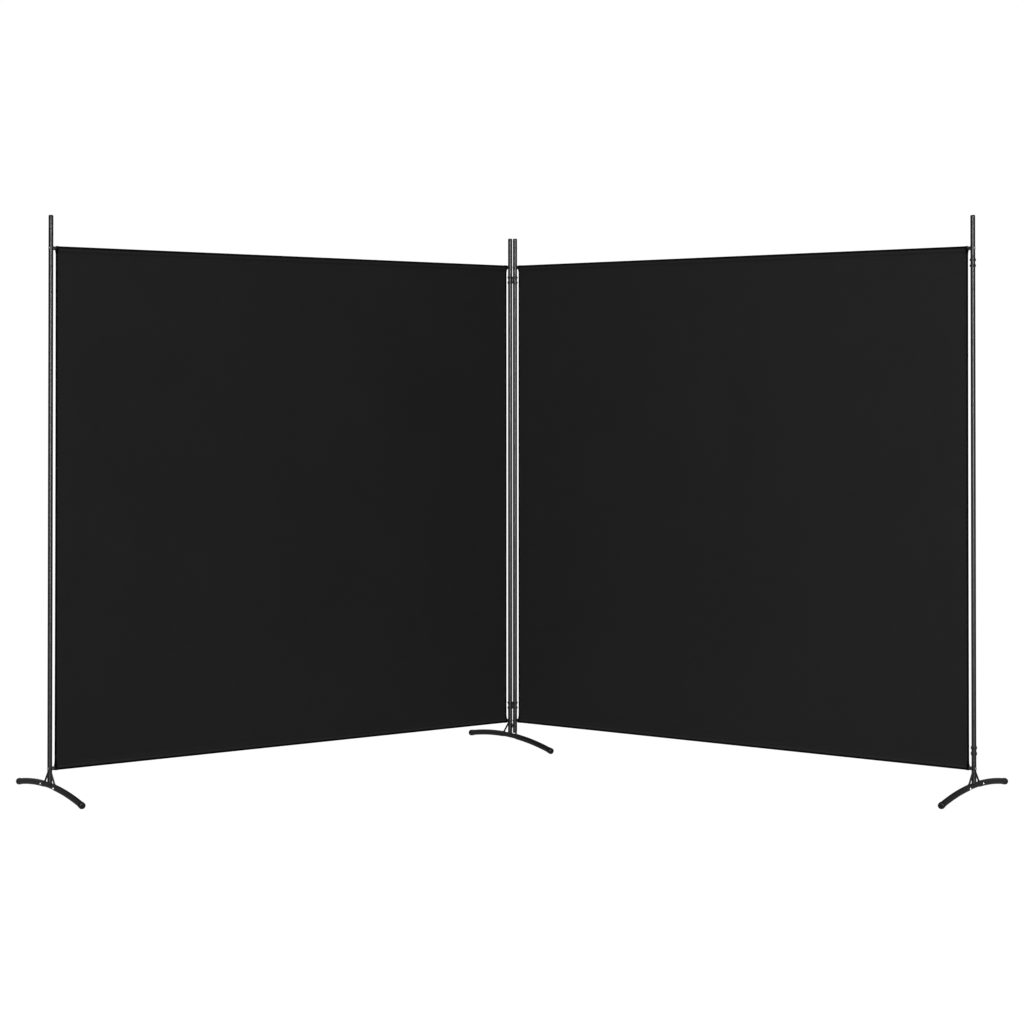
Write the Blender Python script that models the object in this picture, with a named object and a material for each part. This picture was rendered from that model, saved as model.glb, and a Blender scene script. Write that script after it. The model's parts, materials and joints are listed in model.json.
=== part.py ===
"""Folding room divider: two fabric panels on steel tube frames, joined by swivel clips.

Units are metres and +Z is up. The origin lies on the floor, in the middle of the feet. Each panel
has a frame of its own: its origin is on the floor under its inner post, which is also its joint's
axis, and its +X runs along the panel to the outer post. A post's frame has +X away from the panel,
so the inner post's frame is turned half way round.
"""
import math

import bmesh
import bpy
from mathutils import Matrix, Vector

# Layout
POST_HEIGHT = 1.800              # floor to the top of a post's cap
PANEL_PITCH = 1.730              # inner post's axis to outer post's axis
FOLD_ANGLE = math.radians(34.8)  # how far each panel is turned forward from a straight line
POST_SPACING = 0.0024            # clear gap between the two inner posts
SPARE_CLIP_ANGLE = math.radians(67.0)  # a spare clip's free ring, turned back from its panel

# Clearances
TOUCH_GAP = 0.0003               # between pieces that touch
RUNNING_GAP = 0.0003             # radial, between a post and the clip that turns on it
BOLT_GAP = 0.0003                # radial, around a bolt's shaft and head

# Posts
POST_OD = 0.0150
POST_WALL = 0.0012
TOP_SECTION_LENGTH = 0.128       # top of the post down to its upper joint
BOTTOM_JOINT_Z = 0.111           # lower joint's height above the floor
SPIGOT_LENGTH = 0.018            # narrowed tube end inside the next section
JOINT_CHAMFER = 0.0004
CAP_DOME = 0.0034
CAP_PLUG_LENGTH = 0.012
END_PLUG_THICKNESS = 0.0025      # closes the post that has no foot
END_PLUG_CLEARANCE = 0.0002      # that post's end above the foot beside it

# Rails and their fastenings
RAIL_OD = 0.0120
RAIL_WALL = 0.0010
TOP_RAIL_DROP = 0.1035           # top of the post down to the upper rail's axis
BOTTOM_RAIL_Z = 0.0856
RAIL_BOSS_LENGTH = 0.020         # threaded plug welded into each end of a rail
BOLT_SHAFT_D = 0.0050
BOLT_HEAD_D = 0.0084
BOLT_ENGAGEMENT = 0.016          # shaft inside the rail's threaded end

# Fabric
FABRIC_THICKNESS = 0.0006
FABRIC_SIDE_GAP = 0.0078         # post's surface to the fabric's side edge
POCKET_GAP = 0.0003              # rail's surface to the pocket's inside
SEAM_DROP = 0.0230               # pocket's outer edge to its seam

# Feet
FOOT_HALF_LENGTH = 0.254         # post's axis to the end of a foot cap, along the floor
ARCH_RADIUS = 1.330              # radius of the foot tube's axis
LEG_OD = 0.0190
LEG_WALL = 0.0009
LEG_START = 0.044                # post's axis to the leg tube's inner end
HUB_WALL = 0.0012
HUB_REACH = 0.080                # post's axis to the end of the hub inside the leg
FOOT_BOLT_REACH = 0.051          # post's axis to a foot bolt
FOOT_BOLT_HEAD_D = 0.0080
FOOT_BOLT_HEAD_HEIGHT = 0.0028
CAP_LIP = 0.0010                 # how much a foot cap is wider than its leg, each side
CAP_LENGTH = 0.0145              # visible length of a foot cap
CAP_ROUND = 0.0045               # rounding of its closed end
CAP_PLUG = 0.012                 # plug inside the leg
PAD_DEPTH = 0.0008               # how much the floor flat cuts off a foot cap
BRACE_D = 0.0060
BRACE_TOP_Z = 0.0783             # where a brace's axis leaves the upright
BRACE_REACH = 0.0400             # where it meets the top of the hub

# Clips
CLIP_HEIGHT = 0.024
CLIP_BAND = 0.006                # height of each ring
CLIP_WALL = 0.0018
CLIP_WEB_DEPTH = 0.0090          # front to back, between the rings
UPPER_CLIP_DROP = 0.1485         # top of the post down to the upper clip's middle
LOWER_CLIP_Z = 0.1395

# Facets
POST_SIDES = 16
RAIL_SIDES = 12
BOLT_SIDES = 8
FOOT_SIDES = 12
CLIP_SIDES = 16
LEG_STEPS = 6
HUB_STEPS = 4
POCKET_STEPS = 8

# Sizes that follow from the ones above
POST_R = POST_OD / 2
POST_BORE_R = POST_R - POST_WALL
SPIGOT_R = POST_BORE_R - TOUCH_GAP
TOP_JOINT_Z = POST_HEIGHT - TOP_SECTION_LENGTH
TOP_RAIL_Z = POST_HEIGHT - TOP_RAIL_DROP
CAP_BASE_Z = POST_HEIGHT - CAP_DOME
UPPER_CLIP_Z = POST_HEIGHT - UPPER_CLIP_DROP
CLIP_PITCH = POST_OD + POST_SPACING
RAIL_START = POST_R + TOUCH_GAP
FABRIC_START = POST_R + FABRIC_SIDE_GAP
POCKET_INNER_R = RAIL_OD / 2 + POCKET_GAP
POCKET_OUTER_R = POCKET_INNER_R + FABRIC_THICKNESS
LEG_BORE_R = LEG_OD / 2 - LEG_WALL
HUB_R = LEG_BORE_R - TOUCH_GAP
CAP_R = LEG_OD / 2 + CAP_LIP
CAP_END_ANGLE = math.asin(FOOT_HALF_LENGTH / ARCH_RADIUS)
LEG_END_ANGLE = CAP_END_ANGLE - CAP_LENGTH / ARCH_RADIUS
PAD_ANGLE = CAP_END_ANGLE - CAP_ROUND / ARCH_RADIUS
ARCH_TOP_Z = CAP_R * math.cos(PAD_ANGLE) - PAD_DEPTH + ARCH_RADIUS * (1 - math.cos(PAD_ANGLE))
ARCH_CENTRE = Vector((0, 0, ARCH_TOP_Z - ARCH_RADIUS))
POST_END_Z = ARCH_TOP_Z + HUB_R + END_PLUG_CLEARANCE
INNER_POST_Y = PANEL_PITCH * math.sin(FOLD_ANGLE) / 2


def remove_everything():
    """Empty the scene of objects."""
    for obj in list(bpy.data.objects):
        bpy.data.objects.remove(obj, do_unlink=True)


def finish(name, colour, metallic, roughness):
    """Return a Principled material."""
    material = bpy.data.materials.new(name)
    material.use_nodes = True
    shader = material.node_tree.nodes["Principled BSDF"]
    shader.inputs["Base Color"].default_value = (*colour, 1.0)
    shader.inputs["Metallic"].default_value = metallic
    shader.inputs["Roughness"].default_value = roughness
    return material


def to_mesh(bm, name):
    """Turn a bmesh into a smooth-shaded mesh whose faces point out."""
    bmesh.ops.remove_doubles(bm, verts=bm.verts, dist=1e-6)
    bmesh.ops.recalc_face_normals(bm, faces=bm.faces)
    mesh = bpy.data.meshes.new(name)
    bm.to_mesh(mesh)
    bm.free()
    mesh.shade_smooth()
    mesh.set_sharp_from_angle(angle=math.radians(35))
    return mesh


def turned(name, profile, sides, closed=False):
    """Spin a profile of (radius, height) points about Z; a closed one gives a hollow body."""
    bm = bmesh.new()
    points = [bm.verts.new((radius, 0, height)) for radius, height in profile]
    ends = zip(points, points[1:] + points[:1]) if closed else zip(points, points[1:])
    edges = [bm.edges.new(pair) for pair in ends]
    bmesh.ops.spin(bm, geom=points + edges, cent=(0, 0, 0), axis=(0, 0, 1),
                   angle=2 * math.pi, steps=sides, use_merge=True)
    return to_mesh(bm, name)


def arch_tube(name, radii, start, end, steps):
    """Sweep a disc, or the ring between two circles, along the foot's arch.

    start and end are angles at the arch's centre, measured from its top.
    """
    bm = bmesh.new()
    place = (Matrix.Translation(ARCH_CENTRE) @ Matrix.Rotation(-start, 4, "X")
             @ Matrix.Translation((0, 0, ARCH_RADIUS)) @ Matrix.Rotation(math.pi / 2, 4, "X"))
    circles = [bmesh.ops.create_circle(bm, segments=FOOT_SIDES, radius=radius, matrix=place)["verts"]
               for radius in radii]
    if len(circles) == 1:
        bm.faces.new(circles[0])
    else:
        outer, inner = circles
        for i in range(FOOT_SIDES):
            bm.faces.new((outer[i - 1], outer[i], inner[i], inner[i - 1]))
    bmesh.ops.spin(bm, geom=list(bm.verts) + list(bm.edges) + list(bm.faces), cent=ARCH_CENTRE,
                   axis=(1, 0, 0), angle=start - end, steps=steps)
    return to_mesh(bm, name)


def rod(name, start, end, radius, sides):
    """Return a straight round bar between two points."""
    start, end = Vector(start), Vector(end)
    bm = bmesh.new()
    facing = (end - start).to_track_quat("Z", "Y").to_matrix().to_4x4()
    bmesh.ops.create_cone(bm, cap_ends=True, segments=sides, radius1=radius, radius2=radius,
                          depth=(end - start).length,
                          matrix=Matrix.Translation((start + end) / 2) @ facing)
    return to_mesh(bm, name)


def block(name, size, centre):
    """Return a box."""
    bm = bmesh.new()
    bmesh.ops.create_cube(bm, size=1.0)
    bmesh.ops.scale(bm, vec=size, verts=bm.verts)
    bmesh.ops.translate(bm, vec=centre, verts=bm.verts)
    return to_mesh(bm, name)


def combine(base, tool, operation):
    """Return a new mesh: base joined with tool (UNION) or cut by it (DIFFERENCE)."""
    body = bpy.data.objects.new("body", base)
    cutter = bpy.data.objects.new("cutter", tool)
    for obj in (body, cutter):
        bpy.context.scene.collection.objects.link(obj)
    modifier = body.modifiers.new("combine", "BOOLEAN")
    modifier.operation = operation
    modifier.solver = "EXACT"
    modifier.object = cutter
    depsgraph = bpy.context.evaluated_depsgraph_get()
    result = bpy.data.meshes.new_from_object(body.evaluated_get(depsgraph))
    for obj in (body, cutter):
        bpy.data.objects.remove(obj, do_unlink=True)
    result.name = base.name
    result.materials.clear()
    return result


def add_empty(name, parent=None, location=(0, 0, 0), turn=0.0):
    """Add an empty, turned about Z."""
    empty = bpy.data.objects.new(name, None)
    bpy.context.scene.collection.objects.link(empty)
    empty.empty_display_size = 0.05
    empty.parent = parent
    empty.location = location
    empty.rotation_euler = (0, 0, turn)
    return empty


def add_node(name, mesh, material, parent, location=(0, 0, 0), rotation=(0, 0, 0)):
    """Add one sub-part as a named object, with its own copy of the mesh."""
    obj = bpy.data.objects.new(name, mesh.copy())
    obj.data.name = name
    obj.data.materials.append(material)
    bpy.context.scene.collection.objects.link(obj)
    obj.parent = parent
    obj.location = location
    obj.rotation_euler = rotation
    return obj


def rail_bolt_profile(extra=0.0):
    """Profile of a rail bolt along +Z, from its seat in the post; extra grows it to a cutter.

    The head is a barrel that fills the post's access hole and bears on the far wall inside. Its
    outer rim stays within half the distance to the other inner post, so that two heads never meet.
    """
    head_r = BOLT_HEAD_D / 2
    shaft_r = BOLT_SHAFT_D / 2 + extra
    seat = math.sqrt(POST_BORE_R ** 2 - head_r ** 2) - TOUCH_GAP + extra
    outer = -math.sqrt((CLIP_PITCH / 2 - TOUCH_GAP / 2) ** 2 - (head_r - JOINT_CHAMFER) ** 2) - extra
    tip = POST_R + BOLT_ENGAGEMENT + extra
    socket_r, socket_depth = head_r * 0.5, 0.003
    if extra:
        top = [(0, outer), (head_r + extra, outer)]
    else:
        top = [(0, outer + socket_depth), (socket_r, outer + socket_depth), (socket_r, outer),
               (head_r - JOINT_CHAMFER, outer), (head_r, outer + JOINT_CHAMFER)]
    return top + [(head_r + extra, seat), (shaft_r, seat), (shaft_r, tip), (0, tip)]


def rail_bolt_drill(height):
    """Return the space that a rail bolt takes in a post at a height, head outwards."""
    drill = turned("drill", rail_bolt_profile(BOLT_GAP), BOLT_SIDES)
    drill.transform(Matrix.Translation((0, 0, height)) @ Matrix.Rotation(-math.pi / 2, 4, "Y"))
    return drill


def bolted_tube(name, low, high, bolt_z):
    """Return a post section drilled for its rail bolt."""
    edge = JOINT_CHAMFER
    profile = [(POST_BORE_R, low), (POST_R - edge, low), (POST_R, low + edge),
               (POST_R, high - edge), (POST_R - edge, high), (POST_BORE_R, high)]
    tube = turned(name, profile, POST_SIDES, closed=True)
    return combine(tube, rail_bolt_drill(bolt_z), "DIFFERENCE")


def main_tube_mesh():
    """Return the long middle of a post, with a narrowed spigot at each end."""
    low, high = BOTTOM_JOINT_Z + TOUCH_GAP, TOP_JOINT_Z - TOUCH_GAP
    bottom, top = BOTTOM_JOINT_Z - SPIGOT_LENGTH, TOP_JOINT_Z + SPIGOT_LENGTH
    throat_r = SPIGOT_R - POST_WALL
    edge = JOINT_CHAMFER
    outside = [(SPIGOT_R - edge, bottom), (SPIGOT_R, bottom + edge), (SPIGOT_R, low),
               (POST_R - edge, low), (POST_R, low + edge), (POST_R, high - edge),
               (POST_R - edge, high), (SPIGOT_R, high), (SPIGOT_R, top - edge),
               (SPIGOT_R - edge, top)]
    inside = [(throat_r, top), (throat_r, high - POST_WALL), (POST_BORE_R, high - 2 * POST_WALL),
              (POST_BORE_R, low + 2 * POST_WALL), (throat_r, low + POST_WALL), (throat_r, bottom)]
    return turned("post_tube", outside + inside, POST_SIDES, closed=True)


def post_cap_mesh():
    """Return the domed plug that closes a post's top."""
    steps = 3
    dome = [(POST_R * math.cos(math.pi / 2 * i / steps),
             CAP_BASE_Z + CAP_DOME * math.sin(math.pi / 2 * i / steps)) for i in range(steps)]
    profile = [(0, CAP_BASE_Z - CAP_PLUG_LENGTH), (SPIGOT_R, CAP_BASE_Z - CAP_PLUG_LENGTH),
               (SPIGOT_R, CAP_BASE_Z)] + dome + [(0, POST_HEIGHT)]
    return turned("post_cap", profile, POST_SIDES)


def end_plug_mesh():
    """Return the flat plug under the post that has no foot."""
    top = POST_END_Z + END_PLUG_THICKNESS
    profile = [(0, POST_END_Z), (POST_R - JOINT_CHAMFER, POST_END_Z),
               (POST_R, POST_END_Z + JOINT_CHAMFER), (POST_R, top), (SPIGOT_R, top),
               (SPIGOT_R, top + CAP_PLUG_LENGTH), (0, top + CAP_PLUG_LENGTH)]
    return turned("end_plug", profile, POST_SIDES)


def hub_mesh():
    """Return a foot's welded hub: a curved tube, the upright that takes the post, two braces."""
    reach = math.asin(HUB_REACH / ARCH_RADIUS)
    bore_reach = reach + 0.005 / ARCH_RADIUS
    hub = arch_tube("hub", [HUB_R], -reach, reach, HUB_STEPS)
    upright = rod("upright", (0, 0, ARCH_TOP_Z), (0, 0, BOTTOM_JOINT_Z), POST_R, POST_SIDES)
    hub = combine(hub, upright, "UNION")
    landing = ARCH_TOP_Z + HUB_R - BRACE_D / 2
    lean = Vector((0, BRACE_REACH - POST_R, landing - BRACE_TOP_Z)).normalized()
    tie = BRACE_D / 2
    for side in (1, -1):
        flip = Vector((1, side, 1))
        top = (Vector((0, POST_R, BRACE_TOP_Z)) - lean * tie) * flip
        foot = (Vector((0, BRACE_REACH, landing)) + lean * tie) * flip
        hub = combine(hub, rod("brace", top, foot, BRACE_D / 2, BOLT_SIDES), "UNION")
    bore = arch_tube("bore", [HUB_R - HUB_WALL], -bore_reach, bore_reach, HUB_STEPS)
    hub = combine(hub, bore, "DIFFERENCE")
    well = rod("well", (0, 0, ARCH_TOP_Z + HUB_R + HUB_WALL), (0, 0, BOTTOM_JOINT_Z + 0.01),
               POST_BORE_R, POST_SIDES)
    hub = combine(hub, well, "DIFFERENCE")
    hub = combine(hub, rail_bolt_drill(BOTTOM_RAIL_Z), "DIFFERENCE")
    for side in (1, -1):
        hub = combine(hub, foot_bolt_drill(side, LEG_OD, -LEG_OD), "DIFFERENCE")
    return hub


def foot_bolt_z():
    """Height of the foot bolts: on the arch tube's axis."""
    return ARCH_CENTRE.z + math.sqrt(ARCH_RADIUS ** 2 - FOOT_BOLT_REACH ** 2)


def foot_bolt_drill(side, start, end):
    """Return the space of a foot bolt's shaft between two distances across the foot."""
    y, z = side * FOOT_BOLT_REACH, foot_bolt_z()
    return rod("drill", (start, y, z), (end, y, z), BOLT_SHAFT_D / 2 + BOLT_GAP, BOLT_SIDES)


def leg_mesh():
    """Return the leg on a foot's +Y side, drilled on its +X side for the foot bolt."""
    start = math.asin(LEG_START / ARCH_RADIUS)
    leg = arch_tube("leg", [LEG_OD / 2, LEG_BORE_R], start, LEG_END_ANGLE, LEG_STEPS)
    return combine(leg, foot_bolt_drill(1, LEG_OD, 0), "DIFFERENCE")


def foot_bolt_mesh():
    """Return a foot bolt along +X, head at +X, long enough for the hub's far wall."""
    head_r, shaft_r = FOOT_BOLT_HEAD_D / 2, BOLT_SHAFT_D / 2
    under = LEG_OD / 2 + TOUCH_GAP
    top = under + FOOT_BOLT_HEAD_HEIGHT
    tip = TOUCH_GAP - math.sqrt(HUB_R ** 2 - shaft_r ** 2)
    profile = [(0, top), (head_r * 0.6, top), (head_r, top - FOOT_BOLT_HEAD_HEIGHT * 0.5),
               (head_r, under), (shaft_r, under), (shaft_r, tip), (0, tip)]
    bolt = turned("bolt", profile, BOLT_SIDES)
    bolt.transform(Matrix.Rotation(math.pi / 2, 4, "Y"))
    return bolt


def rail_mesh():
    """Return a rail along +X: a tube with a threaded plug welded into each end."""
    length = PANEL_PITCH - 2 * RAIL_START
    outer, bore, thread = RAIL_OD / 2, RAIL_OD / 2 - RAIL_WALL, BOLT_SHAFT_D / 2 + BOLT_GAP
    boss, edge = RAIL_BOSS_LENGTH, JOINT_CHAMFER
    outside = [(outer - edge, 0), (outer, edge), (outer, length - edge), (outer - edge, length)]
    inside = [(thread, length), (thread, length - boss), (bore, length - boss), (bore, boss),
              (thread, boss), (thread, 0)]
    rail = turned("rail", outside + inside, RAIL_SIDES, closed=True)
    rail.transform(Matrix.Rotation(math.pi / 2, 4, "Y"))
    return rail


def foot_cap_mesh():
    """Return the cap on a foot's +Y end: a plug in the leg, a round end, a flat on the floor."""
    plug_r = LEG_BORE_R - TOUCH_GAP
    steps = 3
    nose = [(CAP_R - CAP_ROUND + CAP_ROUND * math.cos(math.pi / 2 * i / steps),
             CAP_LENGTH - CAP_ROUND + CAP_ROUND * math.sin(math.pi / 2 * i / steps))
            for i in range(steps + 1)]
    profile = [(0, -CAP_PLUG), (plug_r, -CAP_PLUG), (plug_r, TOUCH_GAP), (CAP_R, TOUCH_GAP)]
    cap = turned("foot_cap", profile + nose + [(0, CAP_LENGTH)], FOOT_SIDES)
    outward = Matrix.Rotation(-math.pi / 2, 4, "X")
    at_end = (Matrix.Translation(ARCH_CENTRE) @ Matrix.Rotation(-LEG_END_ANGLE, 4, "X")
              @ Matrix.Translation((0, 0, ARCH_RADIUS)) @ outward)
    cap.transform(at_end)
    bm = bmesh.new()
    bm.from_mesh(cap)
    cut = bmesh.ops.bisect_plane(bm, geom=list(bm.verts) + list(bm.edges) + list(bm.faces),
                                 plane_co=(0, 0, 0), plane_no=(0, 0, 1), clear_inner=True)
    rim = [item for item in cut["geom_cut"] if isinstance(item, bmesh.types.BMEdge)]
    bmesh.ops.holes_fill(bm, edges=rim, sides=0)
    return to_mesh(bm, "foot_cap")


def pocket_points(radius, half_width, depth):
    """Points of a pocket's skin round its rail, from one side of its seam to the other.

    The skin lies on a circle and leaves it along tangents, which end at the seam, depth below
    the rail's axis and half_width to each side.
    """
    reach = math.hypot(half_width, depth)
    angle = math.asin(radius / reach) - math.atan2(half_width, depth)
    sweep = math.pi + 2 * angle
    arc = [(-radius * math.cos(sweep * i / POCKET_STEPS - angle),
            radius * math.sin(sweep * i / POCKET_STEPS - angle)) for i in range(POCKET_STEPS + 1)]
    return [(-half_width, -depth)] + arc + [(half_width, -depth)]


def fabric_mesh():
    """Return one panel's fabric: a thin sheet with an open-ended pocket round each rail."""
    length = PANEL_PITCH - 2 * FABRIC_START
    depth = SEAM_DROP - POCKET_OUTER_R
    bm = bmesh.new()
    seams = []
    for axis_z, up in ((TOP_RAIL_Z, 1), (BOTTOM_RAIL_Z, -1)):
        outer = [bm.verts.new((FABRIC_START, y, axis_z + up * z))
                 for y, z in pocket_points(POCKET_OUTER_R, FABRIC_THICKNESS / 2, depth)]
        inner = [bm.verts.new((FABRIC_START, y, axis_z + up * z))
                 for y, z in pocket_points(POCKET_INNER_R, 0.0, depth - FABRIC_THICKNESS)[1:-1]]
        tip = bm.verts.new((FABRIC_START, 0, axis_z - up * (depth - FABRIC_THICKNESS)))
        inner = [tip] + inner + [tip]
        for i in range(len(outer) - 1):
            corners = [outer[i], outer[i + 1], inner[i + 1], inner[i]]
            bm.faces.new(corners)
        seams.append((outer[0], tip, outer[-1]))
    upper, lower = seams
    for i in (0, 1):
        bm.faces.new((upper[i], upper[i + 1], lower[i + 1], lower[i]))
    result = bmesh.ops.extrude_face_region(bm, geom=list(bm.faces))
    moved = [item for item in result["geom"] if isinstance(item, bmesh.types.BMVert)]
    bmesh.ops.translate(bm, vec=(length, 0, 0), verts=moved)
    return to_mesh(bm, "fabric")


def clip_band(low, high):
    """Return one band of a clip: the outline round two rings and their waist, extruded."""
    ring_r = POST_R + RUNNING_GAP + CLIP_WALL
    waist = math.asin(CLIP_WEB_DEPTH / 2 / ring_r)
    sweep = 2 * (math.pi - waist)
    arc = [(ring_r * math.cos(waist + sweep * i / CLIP_SIDES),
            ring_r * math.sin(waist + sweep * i / CLIP_SIDES)) for i in range(CLIP_SIDES + 1)]
    outline = arc + [(CLIP_PITCH - x, -y) for x, y in arc]
    bm = bmesh.new()
    bm.faces.new([bm.verts.new((x, y, low)) for x, y in outline])
    result = bmesh.ops.extrude_face_region(bm, geom=list(bm.faces))
    moved = [item for item in result["geom"] if isinstance(item, bmesh.types.BMVert)]
    bmesh.ops.translate(bm, vec=(0, 0, high - low), verts=moved)
    return to_mesh(bm, "band")


def clip_mesh():
    """Return a clip: two pairs of rings on two posts' axes, held together by a web.

    The first pair's axis is Z, and the second pair's is CLIP_PITCH away along +X.
    """
    half = CLIP_HEIGHT / 2
    web = (CLIP_PITCH / 2, CLIP_WEB_DEPTH - CLIP_WALL, CLIP_HEIGHT - CLIP_BAND)
    clip = block("clip", web, (CLIP_PITCH / 2, 0, 0))
    clip = combine(clip, clip_band(-half, CLIP_BAND - half), "UNION")
    clip = combine(clip, clip_band(half - CLIP_BAND, half), "UNION")
    for x in (0, CLIP_PITCH):
        bore = rod("bore", (x, 0, -CLIP_HEIGHT), (x, 0, CLIP_HEIGHT), POST_R + RUNNING_GAP,
                   CLIP_SIDES)
        clip = combine(clip, bore, "DIFFERENCE")
    return clip


class Workshop:
    """The finishes and the meshes that several nodes share."""

    def __init__(self):
        self.steel = finish("black_powder_coat", (0.022, 0.022, 0.023), 0.0, 0.38)
        self.plastic = finish("black_plastic", (0.015, 0.015, 0.015), 0.0, 0.45)
        self.zinc = finish("zinc_plate", (0.72, 0.73, 0.74), 1.0, 0.28)
        self.cloth = finish("black_cloth", (0.013, 0.013, 0.014), 0.0, 0.90)
        self.top_section = bolted_tube("top_section", TOP_JOINT_Z, CAP_BASE_Z - TOUCH_GAP,
                                       TOP_RAIL_Z)
        self.bottom_section = bolted_tube("bottom_section",
                                          POST_END_Z + END_PLUG_THICKNESS + TOUCH_GAP,
                                          BOTTOM_JOINT_Z, BOTTOM_RAIL_Z)
        self.main_tube = main_tube_mesh()
        self.post_cap = post_cap_mesh()
        self.end_plug = end_plug_mesh()
        self.hub = hub_mesh()
        self.legs = {1: leg_mesh(), -1: leg_mesh()}
        self.legs[-1].transform(Matrix.Scale(-1, 4, (0, 1, 0)))
        self.legs[-1].flip_normals()
        self.foot_cap = foot_cap_mesh()
        self.foot_bolt = foot_bolt_mesh()
        self.rail = rail_mesh()
        self.rail_bolt = turned("rail_bolt", rail_bolt_profile(), BOLT_SIDES)
        self.clip = clip_mesh()
        self.fabric = fabric_mesh()

    def add_post(self, name, frame):
        """Add the three pieces that every post has."""
        add_node(name + "_post_cap", self.post_cap, self.plastic, frame)
        add_node(name + "_post_top_section", self.top_section, self.steel, frame)
        add_node(name + "_post_tube", self.main_tube, self.steel, frame)

    def add_foot(self, name, frame, front):
        """Add a foot to a post; front is 1 where the frame's +Y faces the viewer, or -1."""
        add_node(name + "_foot_hub", self.hub, self.steel, frame)
        for side, leg in self.legs.items():
            end = f"{name}_foot_{'front' if side == front else 'rear'}"
            turn = (0, 0, 0 if side == 1 else math.pi)
            bolt_at = (0, side * FOOT_BOLT_REACH, foot_bolt_z())
            add_node(end + "_leg", leg, self.steel, frame)
            add_node(end + "_cap", self.foot_cap, self.plastic, frame, rotation=turn)
            add_node(end + "_bolt", self.foot_bolt, self.zinc, frame, bolt_at)

    def add_blind_end(self, name, frame):
        """Add the lower end of the post that has no foot."""
        add_node(name + "_post_bottom_section", self.bottom_section, self.steel, frame)
        add_node(name + "_post_end_plug", self.end_plug, self.plastic, frame)

    def add_rails(self, name, frame):
        """Add a panel's two rails and the bolts through the posts into their ends."""
        for height, level in ((TOP_RAIL_Z, "top"), (BOTTOM_RAIL_Z, "bottom")):
            rail = f"{name}_{level}_rail"
            add_node(rail, self.rail, self.steel, frame, (RAIL_START, 0, height))
            add_node(rail + "_inner_bolt", self.rail_bolt, self.zinc, frame, (0, 0, height),
                     (0, math.pi / 2, 0))
            add_node(rail + "_outer_bolt", self.rail_bolt, self.zinc, frame,
                     (PANEL_PITCH, 0, height), (0, -math.pi / 2, 0))

    def add_panel(self, name, x, turn, front, inner_foot):
        """Add one panel and return its frame, an empty on its joint's axis."""
        frame = add_empty(name + "_panel_frame", location=(x, INNER_POST_Y, 0), turn=turn)
        outer = add_empty(name + "_outer_post_frame", frame, (PANEL_PITCH, 0, 0))
        inner = add_empty(name + "_inner_post_frame", frame, turn=math.pi)
        self.add_post(name + "_outer", outer)
        self.add_foot(name + "_outer", outer, front)
        self.add_post(name + "_inner", inner)
        if inner_foot:
            self.add_foot(name + "_inner", inner, -front)
        else:
            self.add_blind_end(name + "_inner", inner)
        self.add_rails(name, frame)
        add_node(name + "_fabric", self.fabric, self.cloth, frame)
        return outer

    def add_clips(self, kind, frame):
        """Add an upper and a lower clip to a frame that stands on a post's axis."""
        for level, height in (("upper", UPPER_CLIP_Z), ("lower", LOWER_CLIP_Z)):
            add_node(f"{level}_{kind}_clip", self.clip, self.plastic, frame, (0, 0, height))


def main():
    """Build the divider."""
    remove_everything()
    shop = Workshop()
    half = CLIP_PITCH / 2
    shop.add_panel("left", -half, math.pi + FOLD_ANGLE, 1, inner_foot=True)
    outer = shop.add_panel("right", half, -FOLD_ANGLE, -1, inner_foot=False)
    shop.add_clips("hinge", add_empty("hinge_frame", location=(-half, INNER_POST_Y, 0)))
    spare = add_empty("spare_clip_frame", outer, turn=math.pi - SPARE_CLIP_ANGLE)
    shop.add_clips("spare", spare)
    bpy.context.view_layer.update()


main()
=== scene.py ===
"""Looks of a two-panel folding room divider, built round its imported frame.

Units are metres and +Z is up. A post has axes of its own: the origin is on the floor under the post,
X points away from its panel, Y runs along its foot, and Z is up. A panel's axes start under its inner
post, with X along the rails to the outer post. Pieces are worked out in those axes as arrays of points
and are then carried to their place in the row frame.
"""

import json
import logging
import math
from dataclasses import dataclass
from enum import Enum
from typing import Iterable, Sequence

import bmesh
import bpy
import numpy as np
from mathutils import Matrix, Vector


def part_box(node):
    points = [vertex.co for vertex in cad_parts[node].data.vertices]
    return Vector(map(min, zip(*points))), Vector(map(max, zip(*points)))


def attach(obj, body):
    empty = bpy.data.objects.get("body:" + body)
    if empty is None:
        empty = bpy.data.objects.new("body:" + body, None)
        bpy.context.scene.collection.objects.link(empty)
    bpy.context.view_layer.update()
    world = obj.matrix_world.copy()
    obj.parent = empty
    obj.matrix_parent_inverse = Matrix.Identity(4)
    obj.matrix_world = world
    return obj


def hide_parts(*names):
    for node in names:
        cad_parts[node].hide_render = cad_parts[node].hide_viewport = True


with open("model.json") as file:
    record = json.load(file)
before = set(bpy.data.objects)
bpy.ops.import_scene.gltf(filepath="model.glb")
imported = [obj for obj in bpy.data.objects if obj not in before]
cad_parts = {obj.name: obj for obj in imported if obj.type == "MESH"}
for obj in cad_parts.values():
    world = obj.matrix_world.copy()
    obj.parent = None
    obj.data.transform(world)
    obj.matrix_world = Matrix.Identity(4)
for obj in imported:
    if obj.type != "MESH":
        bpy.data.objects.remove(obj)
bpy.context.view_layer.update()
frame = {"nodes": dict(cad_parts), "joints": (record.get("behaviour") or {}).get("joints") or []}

log = logging.getLogger("divider")
Array = np.ndarray

MERGE_DISTANCE = 1.5e-6
SHARP_ANGLE = math.radians(38.0)
WINDOW_SIDE = 14            # cells along each side of the window round a hole in a tube
WINDOW_HALF = math.radians(62.0)  # half of the angle that the window takes of the tube
WINDOW_REACH = 1.9          # half of the window's height, in radii of its hole
TOUCH_GAP = 0.0003          # between pieces that touch
WEAR_AND_SHADE = "wear_and_shade"               # attribute that is 1 on worn rounded edges; on the cloth it holds painted shade above 0 and a painted highlight below 0
CLOTH_MAP = "cloth"         # the cloth's own map, in metres along and across it


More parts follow.
